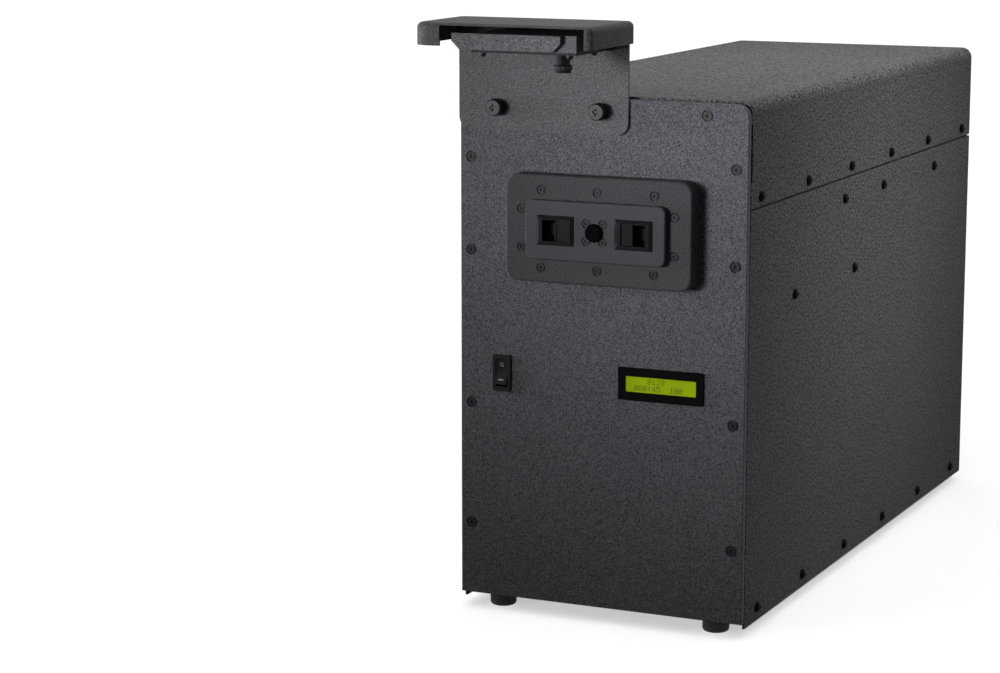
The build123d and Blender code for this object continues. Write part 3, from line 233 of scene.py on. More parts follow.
class Shader:
    """A material under construction: a Principled surface and the nodes that feed it."""

    def __init__(self, name):
        self.material = bpy.data.materials.new(name)
        self.material.use_nodes = True
        self.tree = self.material.node_tree
        self.surface = self.tree.nodes["Principled BSDF"]
        self.place = self.tree.nodes.new("ShaderNodeTexCoord").outputs["Object"]

    def add(self, kind, **values):
        """A node with its plain sockets set by name."""
        node = self.tree.nodes.new(kind)
        for key, value in values.items():
            node.inputs[key.replace("_", " ")].default_value = value
        return node

    def join(self, source, target):
        """A link from one socket to another."""
        self.tree.links.new(source, target)

    def feed(self, socket, source):
        """A link to one of the surface's own sockets."""
        self.join(source, self.surface.inputs[socket])

    def set(self, **values):
        """Plain values on the surface's own sockets."""
        for key, value in values.items():
            self.surface.inputs[key.replace("_", " ")].default_value = value

    def noise(self, cells, detail=2.0, stretch=None):
        """Fractal noise on Object coordinates, with so many cells in a metre."""
        node = self.add("ShaderNodeTexNoise", Scale=cells, Detail=detail, Roughness=0.55)
        source = self.place
        if stretch:
            mapping = self.add("ShaderNodeMapping", Scale=stretch)
            self.join(source, mapping.inputs["Vector"])
            source = mapping.outputs["Vector"]
        self.join(source, node.inputs["Vector"])
        return node.outputs["Fac"]

    def ramp(self, factor, stops):
        """Colours along a factor, each stop a position and a colour."""
        node = self.tree.nodes.new("ShaderNodeValToRGB")
        elements = node.color_ramp.elements
        while len(elements) < len(stops):
            elements.new(0.5)
        for element, (position, colour) in zip(elements, stops):
            element.position = position
            element.color = colour
        self.join(factor, node.inputs["Fac"])
        return node.outputs["Color"]

    def span(self, factor, low, high, near=0.3, far=0.7):
        """A factor between near and far, spread over low to high."""
        node = self.tree.nodes.new("ShaderNodeMapRange")
        node.inputs["From Min"].default_value = near
        node.inputs["From Max"].default_value = far
        node.inputs["To Min"].default_value = low
        node.inputs["To Max"].default_value = high
        self.join(factor, node.inputs["Value"])
        return node.outputs["Result"]

    def mottle(self, factor, colour, dark, light, near=0.3, far=0.7):
        """Base colour from dark to light times a colour, as a factor goes from near to far."""
        tones = [(near, shade(colour, dark)), (far, shade(colour, light))]
        self.feed("Base Color", self.ramp(factor, tones))

    def roughen(self, factor, low, high):
        """Roughness from low to high along a factor."""
        self.feed("Roughness", self.span(factor, low, high))

    def multiply(self, first, second):
        """The product of two colours."""
        node = self.tree.nodes.new("ShaderNodeMix")
        node.data_type = "RGBA"
        node.blend_type = "MULTIPLY"
        node.inputs["Factor"].default_value = 1.0
        self.join(first, node.inputs["A"])
        self.join(second, node.inputs["B"])
        return node.outputs["Result"]

    def bump(self, height, strength, distance):
        """Fine relief from a height."""
        node = self.add("ShaderNodeBump", Strength=strength, Distance=distance)
        self.join(height, node.inputs["Height"])
        self.feed("Normal", node.outputs["Normal"])


def powder_coat(name, colour, grains_per_metre, gloss=0.05, reach=0.17):
    """Powder coat: light and dark grains, sharper with a small reach, and a pebbled surface."""
    paint = settings()[0]
    shader = Shader(name)
    grain = shader.noise(grains_per_metre, detail=3.0)
    dark = shade(colour, 1.0 - paint.speckle)
    mean = shade(colour, 1.0)
    light = shade(colour, 1.0 + paint.speckle)
    grains = shader.ramp(grain, [(0.5 - reach, dark), (0.5, mean), (0.5 + reach, light)])
    cloud = shader.noise(7.0, detail=3.0)
    drift = shader.ramp(cloud, [(0.3, (0.93, 0.93, 0.94, 1.0)), (0.7, WHITE)])
    shader.feed("Base Color", shader.multiply(grains, drift))
    shader.roughen(grain, 0.5, 0.68)
    shader.set(Specular_IOR_Level=gloss)
    shader.bump(grain, strength=0.35, distance=0.0003)
    return shader.material


def satin_coat(name, colour):
    """Smooth satin paint with a faint orange-peel relief."""
    shader = Shader(name)
    shader.mottle(shader.noise(22.0, detail=3.0), colour, dark=0.92, light=1.08)
    peel = shader.noise(900.0, detail=1.0)
    shader.roughen(peel, 0.4, 0.5)
    shader.set(Specular_IOR_Level=0.08)
    shader.bump(peel, strength=0.06, distance=0.0002)
    return shader.material


def moulded(name, colour, roughness, gloss=0.08):
    """Moulded plastic with a fine texture and faint flow marks."""
    shader = Shader(name)
    shader.mottle(shader.noise(45.0), colour, dark=0.8, light=1.25)
    grain = shader.noise(2600.0)
    shader.roughen(grain, roughness - 0.08, roughness + 0.08)
    shader.set(Specular_IOR_Level=gloss)
    shader.bump(grain, strength=0.2, distance=0.0001)
    return shader.material


def bevel_highlight_moulding(name, colour, bevel_highlight, roughness, rim, base):
    """Moulded plastic whose bevels, between the levels rim and base of Y, carry a painted highlight:
    a lighter colour that stands in for light caught on the bevels.
    """
    shader = Shader(name)
    level = shader.tree.nodes.new("ShaderNodeSeparateXYZ")
    shader.join(shader.place, level.inputs["Vector"])
    depth = shader.span(level.outputs["Y"], 0.0, 1.0, near=rim, far=base)
    # Painted highlight: the bevels between rim and base take the lighter colour in place of light
    # that they would catch.
    plain, highlight_tone = shade(colour, 1.0), shade(bevel_highlight, 1.0)
    tone = shader.ramp(depth, [(0.05, plain), (0.12, highlight_tone), (0.90, highlight_tone), (0.98, plain)])
    wear = shader.noise(160.0, detail=3.0)
    flow = shader.ramp(wear, [(0.3, (0.75, 0.75, 0.75, 1.0)), (0.7, WHITE)])
    shader.feed("Base Color", shader.multiply(tone, flow))
    grain = shader.noise(2600.0)
    shader.roughen(grain, roughness - 0.06, roughness + 0.06)
    shader.set(Specular_IOR_Level=0.04)
    shader.bump(grain, strength=0.15, distance=0.0001)
    return shader.material


def metal(name, colour, roughness, stretch=None):
    """Bare metal with a fine lay from its rolling or drawing."""
    shader = Shader(name)
    lay = shader.noise(420.0, detail=3.0, stretch=stretch)
    shader.mottle(lay, colour, dark=0.75, light=1.2)
    shader.roughen(lay, roughness - 0.08, roughness + 0.1)
    shader.set(Metallic=1.0)
    shader.bump(lay, strength=0.12, distance=0.0001)
    return shader.material


def black_oxide(name, colour, roughness, gloss=0.12):
    """Blackened steel: a dark dull skin with a fine turned lay and a soft glint."""
    shader = Shader(name)
    lay = shader.noise(700.0, detail=3.0)
    shader.mottle(lay, colour, dark=0.6, light=1.5)
    shader.roughen(lay, roughness - 0.06, roughness + 0.1)
    shader.set(Specular_IOR_Level=gloss)
    shader.bump(lay, strength=0.1, distance=0.0001)
    return shader.material


def rubber(name, colour):
    """Matt rubber with a dusty bloom."""
    shader = Shader(name)
    bloom = shader.noise(60.0, detail=4.0)
    shader.mottle(bloom, colour, dark=0.8, light=2.2, near=0.35, far=0.75)
    shader.roughen(bloom, 0.75, 0.92)
    shader.bump(shader.noise(1500.0), strength=0.25, distance=0.0002)
    return shader.material


def lit_display(name, colour):
    """A backlit display face: even yellow-green with a faint unevenness of its lamp."""
    shader = Shader(name)
    lamp = shader.noise(26.0, detail=1.0)
    face = shader.ramp(lamp, [(0.3, shade(colour, 0.9)), (0.7, shade(colour, 1.08))])
    shader.feed("Base Color", face)
    shader.feed("Emission Color", face)
    shader.set(Emission_Strength=DISPLAY_GLOW, Roughness=0.4, Specular_IOR_Level=0.04)
    return shader.material


def wound_wire(name, colour):
    """Enamelled wire laid in close turns."""
    shader = Shader(name)
    turns = shader.add("ShaderNodeTexWave", Scale=90.0, Distortion=0.6, Detail=1.0)
    turns.bands_direction = "Y"
    shader.join(shader.place, turns.inputs["Vector"])
    shader.mottle(turns.outputs["Fac"], colour, dark=0.45, light=1.1, near=0.2, far=0.8)
    shader.set(Metallic=0.6, Roughness=0.38)
    shader.bump(turns.outputs["Fac"], strength=0.6, distance=0.0006)
    return shader.material


def laminate(name, colour):
    """Resin laminate with a woven look in its surface."""
    shader = Shader(name)
    weave = shader.noise(320.0, stretch=(1.0, 0.25, 1.0))
    shader.mottle(weave, colour, dark=0.85, light=1.1)
    shader.set(Roughness=0.55)
    shader.bump(weave, strength=0.15, distance=0.0002)
    return shader.material


def lens_glass(name):
    """Dark coated lens glass."""
    shader = Shader(name)
    coat = shader.noise(80.0, detail=1.0)
    blue, violet = (0.006, 0.008, 0.02, 1.0), (0.012, 0.010, 0.028, 1.0)
    shader.feed("Base Color", shader.ramp(coat, [(0.3, blue), (0.7, violet)]))
    shader.set(Roughness=0.06, Coat_Weight=0.6)
    return shader.material


def put_on(material, *names):
    """One material on the named CAD nodes."""
    for name in names:
        mesh = frame["nodes"][name].data
        mesh.materials.clear()
        mesh.materials.append(material)


def add_piece(name, points, faces, material, body, slot, smooth=True):
    """A mesh from whole arrays, with its doubles merged and its faces turned outwards."""
    mesh = bpy.data.meshes.new(name)
    mesh.from_pydata(points.reshape(-1, 3).tolist(), [], faces.tolist())
    shape = bmesh.new()
    shape.from_mesh(mesh)
    bmesh.ops.remove_doubles(shape, verts=shape.verts, dist=MERGE_DISTANCE)
    bmesh.ops.recalc_face_normals(shape, faces=shape.faces)
    shape.to_mesh(mesh)
    shape.free()
    mesh.materials.append(material)
    if smooth:
        mesh.polygons.foreach_set("use_smooth", np.ones(len(mesh.polygons), dtype=bool))
    piece = bpy.data.objects.new(name, mesh)
    bpy.context.scene.collection.objects.link(piece)
    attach(piece, body)


def grid_faces(rows, columns, close_rows):
    """Quads of a grid whose columns close on themselves, and whose rows may."""
    last = rows if close_rows else rows - 1
    row = np.arange(last)[:, None]
    column = np.arange(columns)[None, :]
    below = (row + 1) % rows
    beside = (column + 1) % columns
    corners = (
        row * columns + column, row * columns + beside,
        below * columns + beside, below * columns + column)
    return np.stack(np.broadcast_arrays(*corners), axis=-1).reshape(-1, 4)


def ridged_band(centre, axis, across, radius, length, depth, ridges):
    """A closed band round an axis whose outside is ridged.

    A profile of (radius, height) points is carried round the axis: at angle t the points of its
    outer face lie at radius + depth * (1 + cos(ridges * t)) / 2, and the others at a plain radius.
    """
    edge = min(depth, length / 4)
    profile_radius = np.array([-2 * depth, 0.0, 0.0, 0.0, 0.0, -2 * depth]) + radius
    profile_height = np.array([0.0, 0.0, edge, length - edge, length, length])
    ridged = np.array([0.0, 0.0, 1.0, 1.0, 0.0, 0.0])
    angle = np.linspace(0.0, 2 * np.pi, ridges * RIDGE_POINTS, endpoint=False)
    wave = depth * (1 + np.cos(ridges * angle)) / 2
    reach = profile_radius[:, None] + ridged[:, None] * wave[None, :]
    axis = np.array(axis, float)
    first = np.array(across, float)
    second = np.cross(axis, first)
    spoke = np.cos(angle)[:, None] * first + np.sin(angle)[:, None] * second
    rise = profile_height[:, None, None] * axis
    points = np.array(centre) + reach[..., None] * spoke[None] + rise
    return points, grid_faces(len(profile_radius), len(angle), close_rows=True)


def pillow(centre, first, second, outward, half_sizes, power):
    """A flattened super-ellipsoid.

    With u from -90 to 90 degrees and v all the way round, the point is
    (a * C(u) * C(v), b * C(u) * S(v), c * sin(u)), where C and S are the cosine and the sine with
    their size raised to a power and their sign kept.
    """
    def curve(value):
        """A value with its size raised to the power and its sign kept."""
        return np.sign(value) * np.abs(value) ** power

    rows = 13
    u = np.linspace(-np.pi / 2, np.pi / 2, rows)[:, None]
    v = np.linspace(0.0, 2 * np.pi, ROUND_POINTS, endpoint=False)[None, :]
    a, b, c = half_sizes
    along = a * curve(np.cos(u)) * curve(np.cos(v))
    beside = b * curve(np.cos(u)) * curve(np.sin(v))
    above = c * np.sin(u) * np.ones_like(v)
    basis = np.array([first, second, outward], float)
    points = np.array(centre) + np.stack((along, beside, above), axis=-1) @ basis
    return points, grid_faces(rows, ROUND_POINTS, close_rows=False)


def flat_ring(centre, first, second, outward, radius, half_width, height):
    """A flattened torus: a circle of one radius carries an ellipse of half_width by height."""
    rows = 12
    u = np.linspace(0.0, 2 * np.pi, rows, endpoint=False)[:, None]
    v = np.linspace(0.0, 2 * np.pi, ROUND_POINTS, endpoint=False)[None, :]
    reach = radius + half_width * np.cos(u)
    basis = np.array([first, second, outward], float)
    place = (reach * np.cos(v), reach * np.sin(v), height * np.sin(u) * np.ones_like(v))
    points = np.array(centre) + np.stack(place, axis=-1) @ basis
    return points, grid_faces(rows, ROUND_POINTS, close_rows=True)


def lens_dome(centre, radius, sag):
    """A closed double-convex lens that looks down.

    At the share p of its radius its faces lie at minus and plus sag * (1 - p squared).
    """
    steps = 12
    out = np.linspace(0.0, 1.0, steps)
    p = np.concatenate((out, np.linspace(1.0, 0.0, steps)[1:]))[:, None]
    side = np.concatenate((-np.ones(steps), np.ones(steps - 1)))[:, None]
    v = np.linspace(0.0, 2 * np.pi, ROUND_POINTS, endpoint=False)[None, :]
    height = side * sag * (1 - p ** 2) * np.ones_like(v)
    place = (p * radius * np.cos(v), p * radius * np.sin(v), height)
    points = np.stack(place, axis=-1) + np.array(centre)
    return points, grid_faces(len(p), ROUND_POINTS, close_rows=False)


def character_dots(text):
    """Column and row of every lit dot in a line of figures, as two arrays."""
    line = text.ljust(LINE_CHARACTERS)[:LINE_CHARACTERS]
    rows = np.array([DIGIT_ROWS[mark] for mark in line])
    left_to_right = np.arange(4, -1, -1)
    bits = (rows[:, :, None] >> left_to_right) & 1
    cell, row, column = np.nonzero(bits)
    return cell * CHARACTER_PITCH + column, row


def small_boxes(centres, half_sizes):
    """Boxes of one size round many centres, as one array of points and one of faces."""
    signs = np.array([(x, y, z) for x in (-1, 1) for y in (-1, 1) for z in (-1, 1)], float)
    points = centres[:, None, :] + signs[None] * np.array(half_sizes)
    sides = np.array([
        (0, 1, 3, 2), (4, 6, 7, 5), (0, 4, 5, 1), (2, 3, 7, 6), (0, 2, 6, 4), (1, 5, 7, 3)])
    faces = np.arange(len(centres))[:, None, None] * 8 + sides[None]
    return points, faces.reshape(-1, 4)


def middle_of(node):
    """The middle of a node's box, and half its sides."""
    low, high = (np.array(corner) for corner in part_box(node))
    return (low + high) / 2, (high - low) / 2


class DEGAUSSER_OT_paint_cabinet(bpy.types.Operator):
    """Paint the cabinet's sheets, its front panel, its screws and its feet"""

    bl_idname = "degausser.paint_cabinet"
    bl_label = "Paint Cabinet"

    def execute(self, context):
        paint = settings()[0]
        put_on(powder_coat("panel_coat", paint.panel, paint.grain), "front_panel")
        put_on(powder_coat("cabinet_coat", paint.cabinet, paint.coarse_grain,
                           gloss=paint.gloss, reach=COARSE_REACH),
               "top_cover", "left_side_panel", "right_side_panel", "base_pan", "rear_panel")
        put_on(black_oxide("side_screw_black", (0.003, 0.003, 0.0032), roughness=0.34, gloss=0.03),
               "cover_screws", "base_screws", "side_bracket_screws", "rear_panel_screws",
               "foot_screws")
        put_on(black_oxide("front_screw_dark", (0.011, 0.011, 0.012), roughness=0.36),
               "front_panel_screws")
        put_on(rubber("foot_rubber", (0.012, 0.012, 0.012)), "rubber_feet")
        return {"FINISHED"}


class DEGAUSSER_OT_paint_mouth(bpy.types.Operator):
    """Paint the mouth frame, the drawer and its latches"""

    bl_idname = "degausser.paint_mouth"
    bl_label = "Paint Mouth and Drawer"

    def execute(self, context):
        paint = settings()[0]
        put_on(powder_coat("mouth_coat", paint.mouth, paint.grain), "mouth_frame")
        put_on(satin_coat("drawer_coat", paint.drawer), "drawer_front")
        put_on(black_oxide("mouth_screw_dark", (0.007, 0.007, 0.008), roughness=0.36),
               "mouth_frame_screws", "bush_screws")
        rim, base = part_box("left_latch_housing")[0][1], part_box("drawer_front")[0][1]
        # The bezels' bevels get a painted highlight: a lighter colour that stands in for light
        # caught on them.
        put_on(bevel_highlight_moulding("bezel_black", (0.006, 0.006, 0.007), bevel_highlight=(0.014, 0.014, 0.015),
                               roughness=0.3, rim=rim, base=base),
               "left_latch_housing", "right_latch_housing")
        put_on(moulded("latch_black", (0.006, 0.006, 0.007), roughness=0.3, gloss=0.04),
               "left_latch_slider", "right_latch_slider")
        put_on(moulded("bush_black", (0.0015, 0.0015, 0.0017), roughness=0.55, gloss=0.01),
               "centre_bush")
        put_on(metal("tray_aluminium", (0.52, 0.53, 0.54), roughness=0.4, stretch=(1.0, 0.05, 1.0)),
               "drawer_tray")
        return {"FINISHED"}


class DEGAUSSER_OT_paint_controls(bpy.types.Operator):
    """Finish the display and the power switch"""

    bl_idname = "degausser.paint_controls"
    bl_label = "Finish Display and Switch"

    def execute(self, context):
        paint = settings()[0]
        put_on(moulded("display_black", (0.002, 0.002, 0.002), roughness=0.5, gloss=0.02),
               "display_bezel")
        put_on(moulded("switch_black", (0.014, 0.014, 0.015), roughness=0.42, gloss=0.06),
               "switch_housing", "power_rocker")
        put_on(lit_display("display_lit", paint.display), "display_glass")
        return {"FINISHED"}


class DEGAUSSER_OT_paint_camera(bpy.types.Operator):
    """Paint the camera's bracket, hood, box and lens"""

    bl_idname = "degausser.paint_camera"
    bl_label = "Paint Camera and Hood"

    def execute(self, context):
        paint = settings()[0]
        put_on(powder_coat("bracket_coat", paint.bracket, paint.grain),
               "camera_bracket", "camera_housing", "nameplate")
        put_on(powder_coat("hood_coat", paint.hood, paint.grain), "camera_hood")
        put_on(moulded("camera_black", paint.black, roughness=0.45),
               "camera_base_plate", "camera_lens", "focus_ring")
        put_on(black_oxide("small_screw_black", (0.008, 0.008, 0.009), roughness=0.3),
               "camera_plate_screws")
        put_on(black_oxide("thumbscrew_black", (0.010, 0.010, 0.011), roughness=0.3),
               "left_thumbscrew", "right_thumbscrew")
        return {"FINISHED"}


class DEGAUSSER_OT_paint_inside(bpy.types.Operator):
    """Finish the coil, the capacitor bank, the electronics and the pieces at the back"""

    bl_idname = "degausser.paint_inside"
    bl_label = "Finish Inside and Back"

    def execute(self, context):
        paint = settings()[0]
        put_on(metal("plain_steel", (0.42, 0.42, 0.43), roughness=0.4), "fan_guard", "inlet_pins")
        # The angles and rails are black partly as their own dark finish and partly as painted shade,
        # so that the seam gaps in front of them read as dark lines.
        put_on(black_oxide("frame_black_seam_shade", (0.006, 0.006, 0.006), roughness=0.5, gloss=0.03),
               "frame_angles", "side_rails")
        put_on(metal("plain_aluminium", (0.55, 0.56, 0.57), roughness=0.42),
               "coil_crossbars", "thyristor_heatsink")
        put_on(laminate("former_laminate", (0.5, 0.42, 0.26)),
               "drawer_tunnel", "coil_bobbin", "capacitor_rack")
        put_on(wound_wire("coil_wire", (0.5, 0.2, 0.09)), "coil_winding", "transformer_winding")
        put_on(metal("bar_copper", (0.62, 0.28, 0.14), roughness=0.35, stretch=(1.0, 0.1, 1.0)),
               "bus_bars")
        put_on(metal("core_iron", (0.12, 0.12, 0.13), roughness=0.55, stretch=(1.0, 6.0, 1.0)),
               "transformer_core")
        put_on(moulded("can_sleeve", (0.05, 0.08, 0.16), roughness=0.4), "capacitors")
        put_on(moulded("glazed_ceramic", (0.7, 0.68, 0.62), roughness=0.3), "discharge_thyristor")
        put_on(moulded("board_mask", (0.015, 0.10, 0.045), roughness=0.4),
               "control_board", "display_board")
        put_on(moulded("glide_tape", (0.7, 0.7, 0.68), roughness=0.4), "slide_strips")
        put_on(moulded("fitting_black", paint.black, roughness=0.5),
               "interlock_switch", "fan_frame", "fan_rotor", "power_inlet")
        return {"FINISHED"}


class DEGAUSSER_OT_add_knurls(bpy.types.Operator):
    """Add the ridges round the thumbscrews and round the lens's focus ring"""

    bl_idname = "degausser.add_knurls"
    bl_label = "Add Knurls"

    def execute(self, context):
        detail = settings()[1]
        dark = black_oxide("knurl_black", (0.014, 0.014, 0.015), roughness=0.3)
        for side in ("left", "right"):
            node = f"{side}_thumbscrew"
            low, high = (np.array(corner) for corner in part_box(node))
            middle, half = (low + high) / 2, (high - low) / 2
            shape = ridged_band(
                (middle[0], low[1] + KNURL_SETBACK, middle[2]), axis=(0, 1, 0), across=(1, 0, 0),
                radius=half[0], length=KNURL_LENGTH,
                depth=detail.knurl_depth, ridges=detail.knurl_ridges)
            add_piece(f"{side}_thumb_knurl", *shape, dark, f"{side}_thumb", "dark_screw",
                      smooth=False)
        black = moulded("ring_black", (0.02, 0.02, 0.022), roughness=0.4)
        low, high = (np.array(corner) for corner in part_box("focus_ring"))
        middle, half = (low + high) / 2, (high - low) / 2
        shape = ridged_band(
            (middle[0], middle[1], low[2] + RING_EDGE), axis=(0, 0, 1), across=(1, 0, 0),
            radius=half[0], length=high[2] - low[2] - 2 * RING_EDGE,
            depth=detail.ring_depth, ridges=detail.ring_ridges)
        add_piece("focus_knurl", *shape, black, "focus", "black_plastic", smooth=False)
        return {"FINISHED"}


class DEGAUSSER_OT_add_display_figures(bpy.types.Operator):
    """Add the figures on the display, in dots"""

    bl_idname = "degausser.add_display_figures"
    bl_label = "Add Display Figures"

    def execute(self, context):
        detail = settings()[1]
        middle, half = middle_of("display_glass")
        pitch = detail.dot_pitch
        width = (LINE_CHARACTERS * CHARACTER_PITCH - 1) * pitch
        face = middle[1] - half[1]
        places = []
        for text, line_height in ((detail.top_line, 0.5), (detail.bottom_line, -0.5)):
            column, row = character_dots(text)
            x = middle[0] - width / 2 + column * pitch
            z = middle[2] + line_height * LINE_PITCH * pitch + (MIDDLE_ROW - row) * pitch
            places.append(np.stack((x, np.full(len(x), face), z), axis=-1))
        size = detail.dot_size / 2
        shape = small_boxes(np.concatenate(places), (size, INK_HALF_HEIGHT, size))
        ink = moulded("figure_dark", (0.03, 0.05, 0.004), roughness=0.5)
        add_piece("display_figures", *shape, ink, "cabinet", "black_plastic", smooth=False)
        return {"FINISHED"}


class DEGAUSSER_OT_add_rocker_marks(bpy.types.Operator):
    """Add the ring and the bar on the power rocker"""

    bl_idname = "degausser.add_rocker_marks"
    bl_label = "Add Rocker Marks"

    def execute(self, context):
        detail = settings()[1]
        joint = next(j for j in frame["joints"] if j["name"] == "power_rocker_tilt")
        pivot = np.array(joint["pos_m"])
        tilt = -math.radians(joint["range_deg"][1]) / 2
        cosine, sine = math.cos(tilt), math.sin(tilt)
        turn = np.array([[1, 0, 0], [0, cosine, -sine], [0, sine, cosine]])
        white = moulded("mark_white", (0.55, 0.55, 0.54), roughness=0.5)
        first = np.array([1.0, 0.0, 0.0])
        for side, mark in ((1, "off"), (-1, "on")):
            slope = np.array([0.0, ROCKER_DIP - ROCKER_END, side * ROCKER_HALF])
            along = slope / np.linalg.norm(slope)
            place = np.array([0.0, -ROCKER_DIP, 0.0]) + MARK_SHARE * slope
            outward = np.cross(first, along)
            outward = outward * -np.sign(outward[1])
            spot = pivot + turn @ place
            axes = (first, turn @ along, turn @ outward)
            if mark == "off":
                shape = flat_ring(spot, *axes, detail.mark_ring, RING_HALF_WIDTH, MARK_HEIGHT)
            else:
                half_sizes = (detail.mark_bar, BAR_HALF_WIDTH, MARK_HEIGHT)
                shape = pillow(spot, *axes, half_sizes, BAR_POWER)
            add_piece(f"rocker_{mark}_mark", *shape, white, "rocker", "glide_strip")
        return {"FINISHED"}


class DEGAUSSER_OT_add_lens(bpy.types.Operator):
    """Add the glass in the camera's lens"""

    bl_idname = "degausser.add_lens"
    bl_label = "Add Lens Glass"

    def execute(self, context):
        low, high = (np.array(corner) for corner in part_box("camera_lens"))
        middle = (low + high) / 2
        shape = lens_dome((middle[0], middle[1], low[2] + GLASS_SETBACK), GLASS_RADIUS, GLASS_SAG)
        add_piece("lens_glass", *shape, lens_glass("lens_coated"), "cabinet", "black_plastic")
        return {"FINISHED"}


class DEGAUSSER_OT_set_stage(bpy.types.Operator):
    """Set up the floor, the light and the camera"""

    bl_idname = "degausser.set_stage"
    bl_label = "Set Stage"

    def execute(self, context):
        scene = context.scene
        stage = settings()[2]
        scene.view_settings.view_transform = "Standard"
        floor = self.make_floor(scene, stage)
        self.make_world(scene, stage)
        self.make_lights(stage, floor)
        self.make_camera(scene, stage)
        return {"FINISHED"}

    def make_floor(self, scene, stage):
        """A wide flat floor that the camera sees white and that sends little light back up."""
        corners = FLOOR_REACH * np.array([(-1, -1, 0), (1, -1, 0), (1, 1, 0), (-1, 1, 0)], float)
        mesh = bpy.data.meshes.new("floor")
        mesh.from_pydata(corners.tolist(), [], [(0, 1, 2, 3)])
        floor = bpy.data.objects.new("floor", mesh)
        scene.collection.objects.link(floor)
        shader = Shader("floor_pale")
        camera, mirrored = self.seen_rays(shader.tree)
        tone = shader.tree.nodes.new("ShaderNodeMix")
        tone.data_type = "RGBA"
        tone.inputs["A"].default_value = (stage.bounce,) * 3 + (1.0,)
        tone.inputs["B"].default_value = (stage.floor_tone,) * 3 + (1.0,)
        shader.join(camera, tone.inputs["Factor"])
        shader.feed("Base Color", tone.outputs["Result"])
        seen = shader.span(camera, 0.0, stage.floor_white, near=0.0, far=1.0)
        reflected = shader.span(mirrored, 0.0, stage.floor_mirrored, near=0.0, far=1.0)
        shader.feed("Emission Strength", self.combine(shader.tree, "ADD", seen, reflected))
        shader.set(Roughness=0.9, Specular_IOR_Level=0.0, Emission_Color=WHITE)
        mesh.materials.append(shader.material)
        return floor

    def seen_rays(self, tree):
        """Two masks: one for camera rays, and one for glossy and transmission rays."""
        rays = tree.nodes.new("ShaderNodeLightPath").outputs
        glossy, through = rays["Is Glossy Ray"], rays["Is Transmission Ray"]
        return rays["Is Camera Ray"], self.combine(tree, "MAXIMUM", glossy, through)

    def combine(self, tree, operation, first, second):
        """Two values put together by one operation."""
        node = tree.nodes.new("ShaderNodeMath")
        node.operation = operation
        tree.links.new(first, node.inputs[0])
        tree.links.new(second, node.inputs[1])
        return node.outputs["Value"]

    def make_world(self, scene, stage):
        """White for what is seen, and a softer light for what it falls on."""
        world = bpy.data.worlds.new("studio")
        world.use_nodes = True
        scene.world = world
        tree = world.node_tree
        background = tree.nodes["Background"]
        level = tree.nodes.new("ShaderNodeMapRange")
        level.inputs["To Min"].default_value = stage.ambient
        level.inputs["To Max"].default_value = 1.0
        seen = self.combine(tree, "MAXIMUM", *self.seen_rays(tree))
        tree.links.new(seen, level.inputs["Value"])
        background.inputs["Color"].default_value = WHITE
        tree.links.new(level.outputs["Result"], background.inputs["Strength"])

    def make_lights(self, stage, floor):
        """A low sun, a key and a grazing rim from the left, and softboxes above and at the right."""
        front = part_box("front_panel")[0][1]
        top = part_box("top_cover")[1][2]
        sun = bpy.data.lights.new("low_sun", "SUN")
        sun.energy = stage.sun
        sun.angle = math.radians(SUN_ANGLE)
        self.place_light(sun, (-1.2, -1.5, 0.30), (0.0, 0.0, 0.2))
        spared = bpy.data.collections.new("spared_by_softboxes")
        spared.objects.link(floor)
        spared.collection_objects[0].light_linking.link_state = "EXCLUDE"
        self.softbox(
            spared, "key_softbox", stage.key, size=(0.4, 0.35), spread=40,
            place=(-0.46, front - 1.1, top + 0.02), target=(0.19, front, top + 0.03))
        self.softbox(
            spared, "rim_softbox", stage.rim, size=(0.2, 0.4), spread=80,
            place=(-1.10, front - 0.15, top - 0.04), target=(0.1, front - 0.01, top - 0.14))
        self.softbox(
            spared, "overhead_softbox", stage.overhead, size=(0.9, 0.9), spread=80,
            place=(0.15, 0.28, top + 1.0), target=(0.1, 0.10, top))
        self.softbox(
            spared, "fill_softbox", stage.fill, size=(0.4, 0.4), spread=36,
            place=(1.45, 0.40, top + 0.34), target=(0.13, 0.06, top - 0.11))

    def softbox(self, spared, name, power, size, spread, place, target):
        """A rectangular light with a grid that narrows its beam, kept off what is spared."""
        light = bpy.data.lights.new(name, "AREA")
        light.energy = power
        light.shape = "RECTANGLE"
        light.size, light.size_y = size
        light.spread = math.radians(spread)
        lamp = self.place_light(light, place, target)
        lamp.light_linking.receiver_collection = spared

    def place_light(self, light, place, target):
        """A light at a place, turned towards a target."""
        lamp = bpy.data.objects.new(light.name, light)
        lamp.location = place
        lamp.rotation_euler = (Vector(target) - Vector(place)).to_track_quat("-Z", "Y").to_euler()
        bpy.context.scene.collection.objects.link(lamp)
        return lamp

    def make_camera(self, scene, stage):
        """A camera at the fitted place, looking down and to the left."""
        lens = bpy.data.cameras.new("view")
        lens.sensor_fit = "HORIZONTAL"
        lens.sensor_width = SENSOR_WIDTH
        lens.lens = stage.focal_pixels / PHOTO_WIDTH * SENSOR_WIDTH
        camera = bpy.data.objects.new("view", lens)
        low_edge = Vector((0.0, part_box("front_panel")[0][1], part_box("right_side_panel")[0][2]))
        camera.location = low_edge + Vector(stage.camera_offset)
        camera.rotation_euler = (math.pi / 2 - stage.camera_pitch, 0.0, stage.camera_yaw)
        scene.collection.objects.link(camera)
        scene.camera = camera


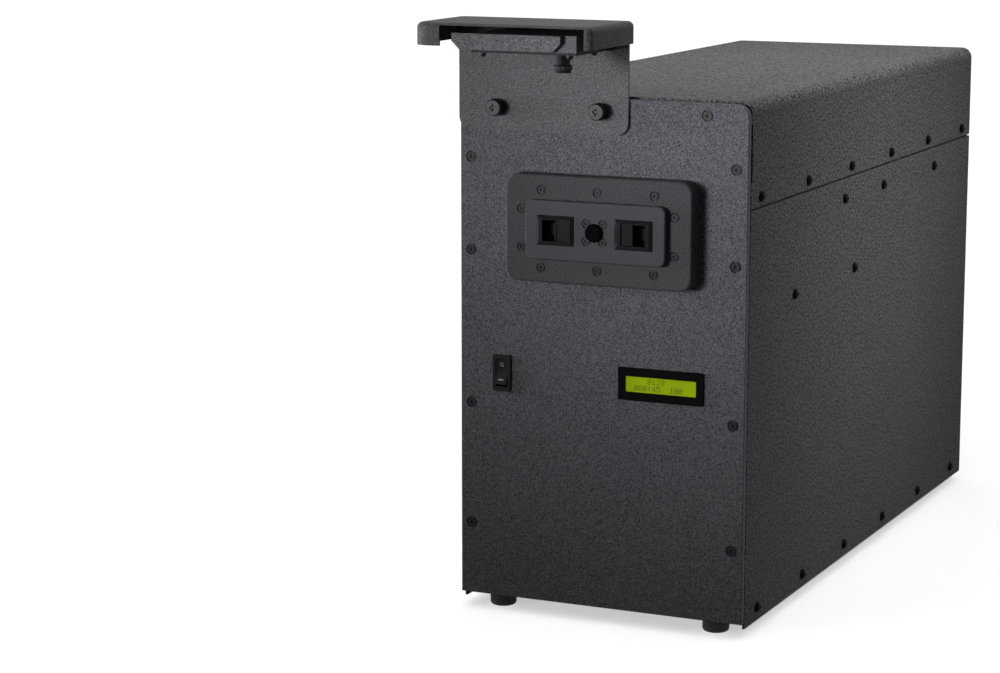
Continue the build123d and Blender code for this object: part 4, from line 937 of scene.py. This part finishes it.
OPERATORS = (
    DEGAUSSER_OT_paint_cabinet, DEGAUSSER_OT_paint_mouth, DEGAUSSER_OT_paint_controls,
    DEGAUSSER_OT_paint_camera, DEGAUSSER_OT_paint_inside, DEGAUSSER_OT_add_knurls,
    DEGAUSSER_OT_add_display_figures, DEGAUSSER_OT_add_rocker_marks, DEGAUSSER_OT_add_lens,
    DEGAUSSER_OT_set_stage,
)


class DEGAUSSER_PT_sidebar(bpy.types.Panel):
    """Lists the finish, the detail and the stage of the degausser"""

    bl_idname = "DEGAUSSER_PT_sidebar"
    bl_label = "Degausser"
    bl_space_type = "VIEW_3D"
    bl_region_type = "UI"
    bl_category = "Degausser"

    def draw(self, context):
        for operator in OPERATORS:
            self.layout.operator(operator.bl_idname)
        for group in settings():
            box = self.layout.box()
            for name in group.__annotations__:
                box.prop(group, name)


CLASSES = (DegausserPaint, DegausserDetail, DegausserStage) + OPERATORS + (DEGAUSSER_PT_sidebar,)


def register():
    """Register the classes and hang the settings on the scene."""
    for item in CLASSES:
        bpy.utils.register_class(item)
    bpy.types.Scene.degausser_paint = bpy.props.PointerProperty(type=DegausserPaint)
    bpy.types.Scene.degausser_detail = bpy.props.PointerProperty(type=DegausserDetail)
    bpy.types.Scene.degausser_stage = bpy.props.PointerProperty(type=DegausserStage)


def unregister():
    """Take the settings and the classes away again."""
    del bpy.types.Scene.degausser_stage
    del bpy.types.Scene.degausser_detail
    del bpy.types.Scene.degausser_paint
    for item in reversed(CLASSES):
        bpy.utils.unregister_class(item)


def main():
    """Register the add-on, finish every piece and set the stage."""
    register()
    bpy.ops.degausser.paint_cabinet()
    bpy.ops.degausser.paint_mouth()
    bpy.ops.degausser.paint_controls()
    bpy.ops.degausser.paint_camera()
    bpy.ops.degausser.paint_inside()
    bpy.ops.degausser.add_knurls()
    bpy.ops.degausser.add_display_figures()
    bpy.ops.degausser.add_rocker_marks()
    bpy.ops.degausser.add_lens()
    bpy.ops.degausser.set_stage()


if __name__ == "__main__":
    main()
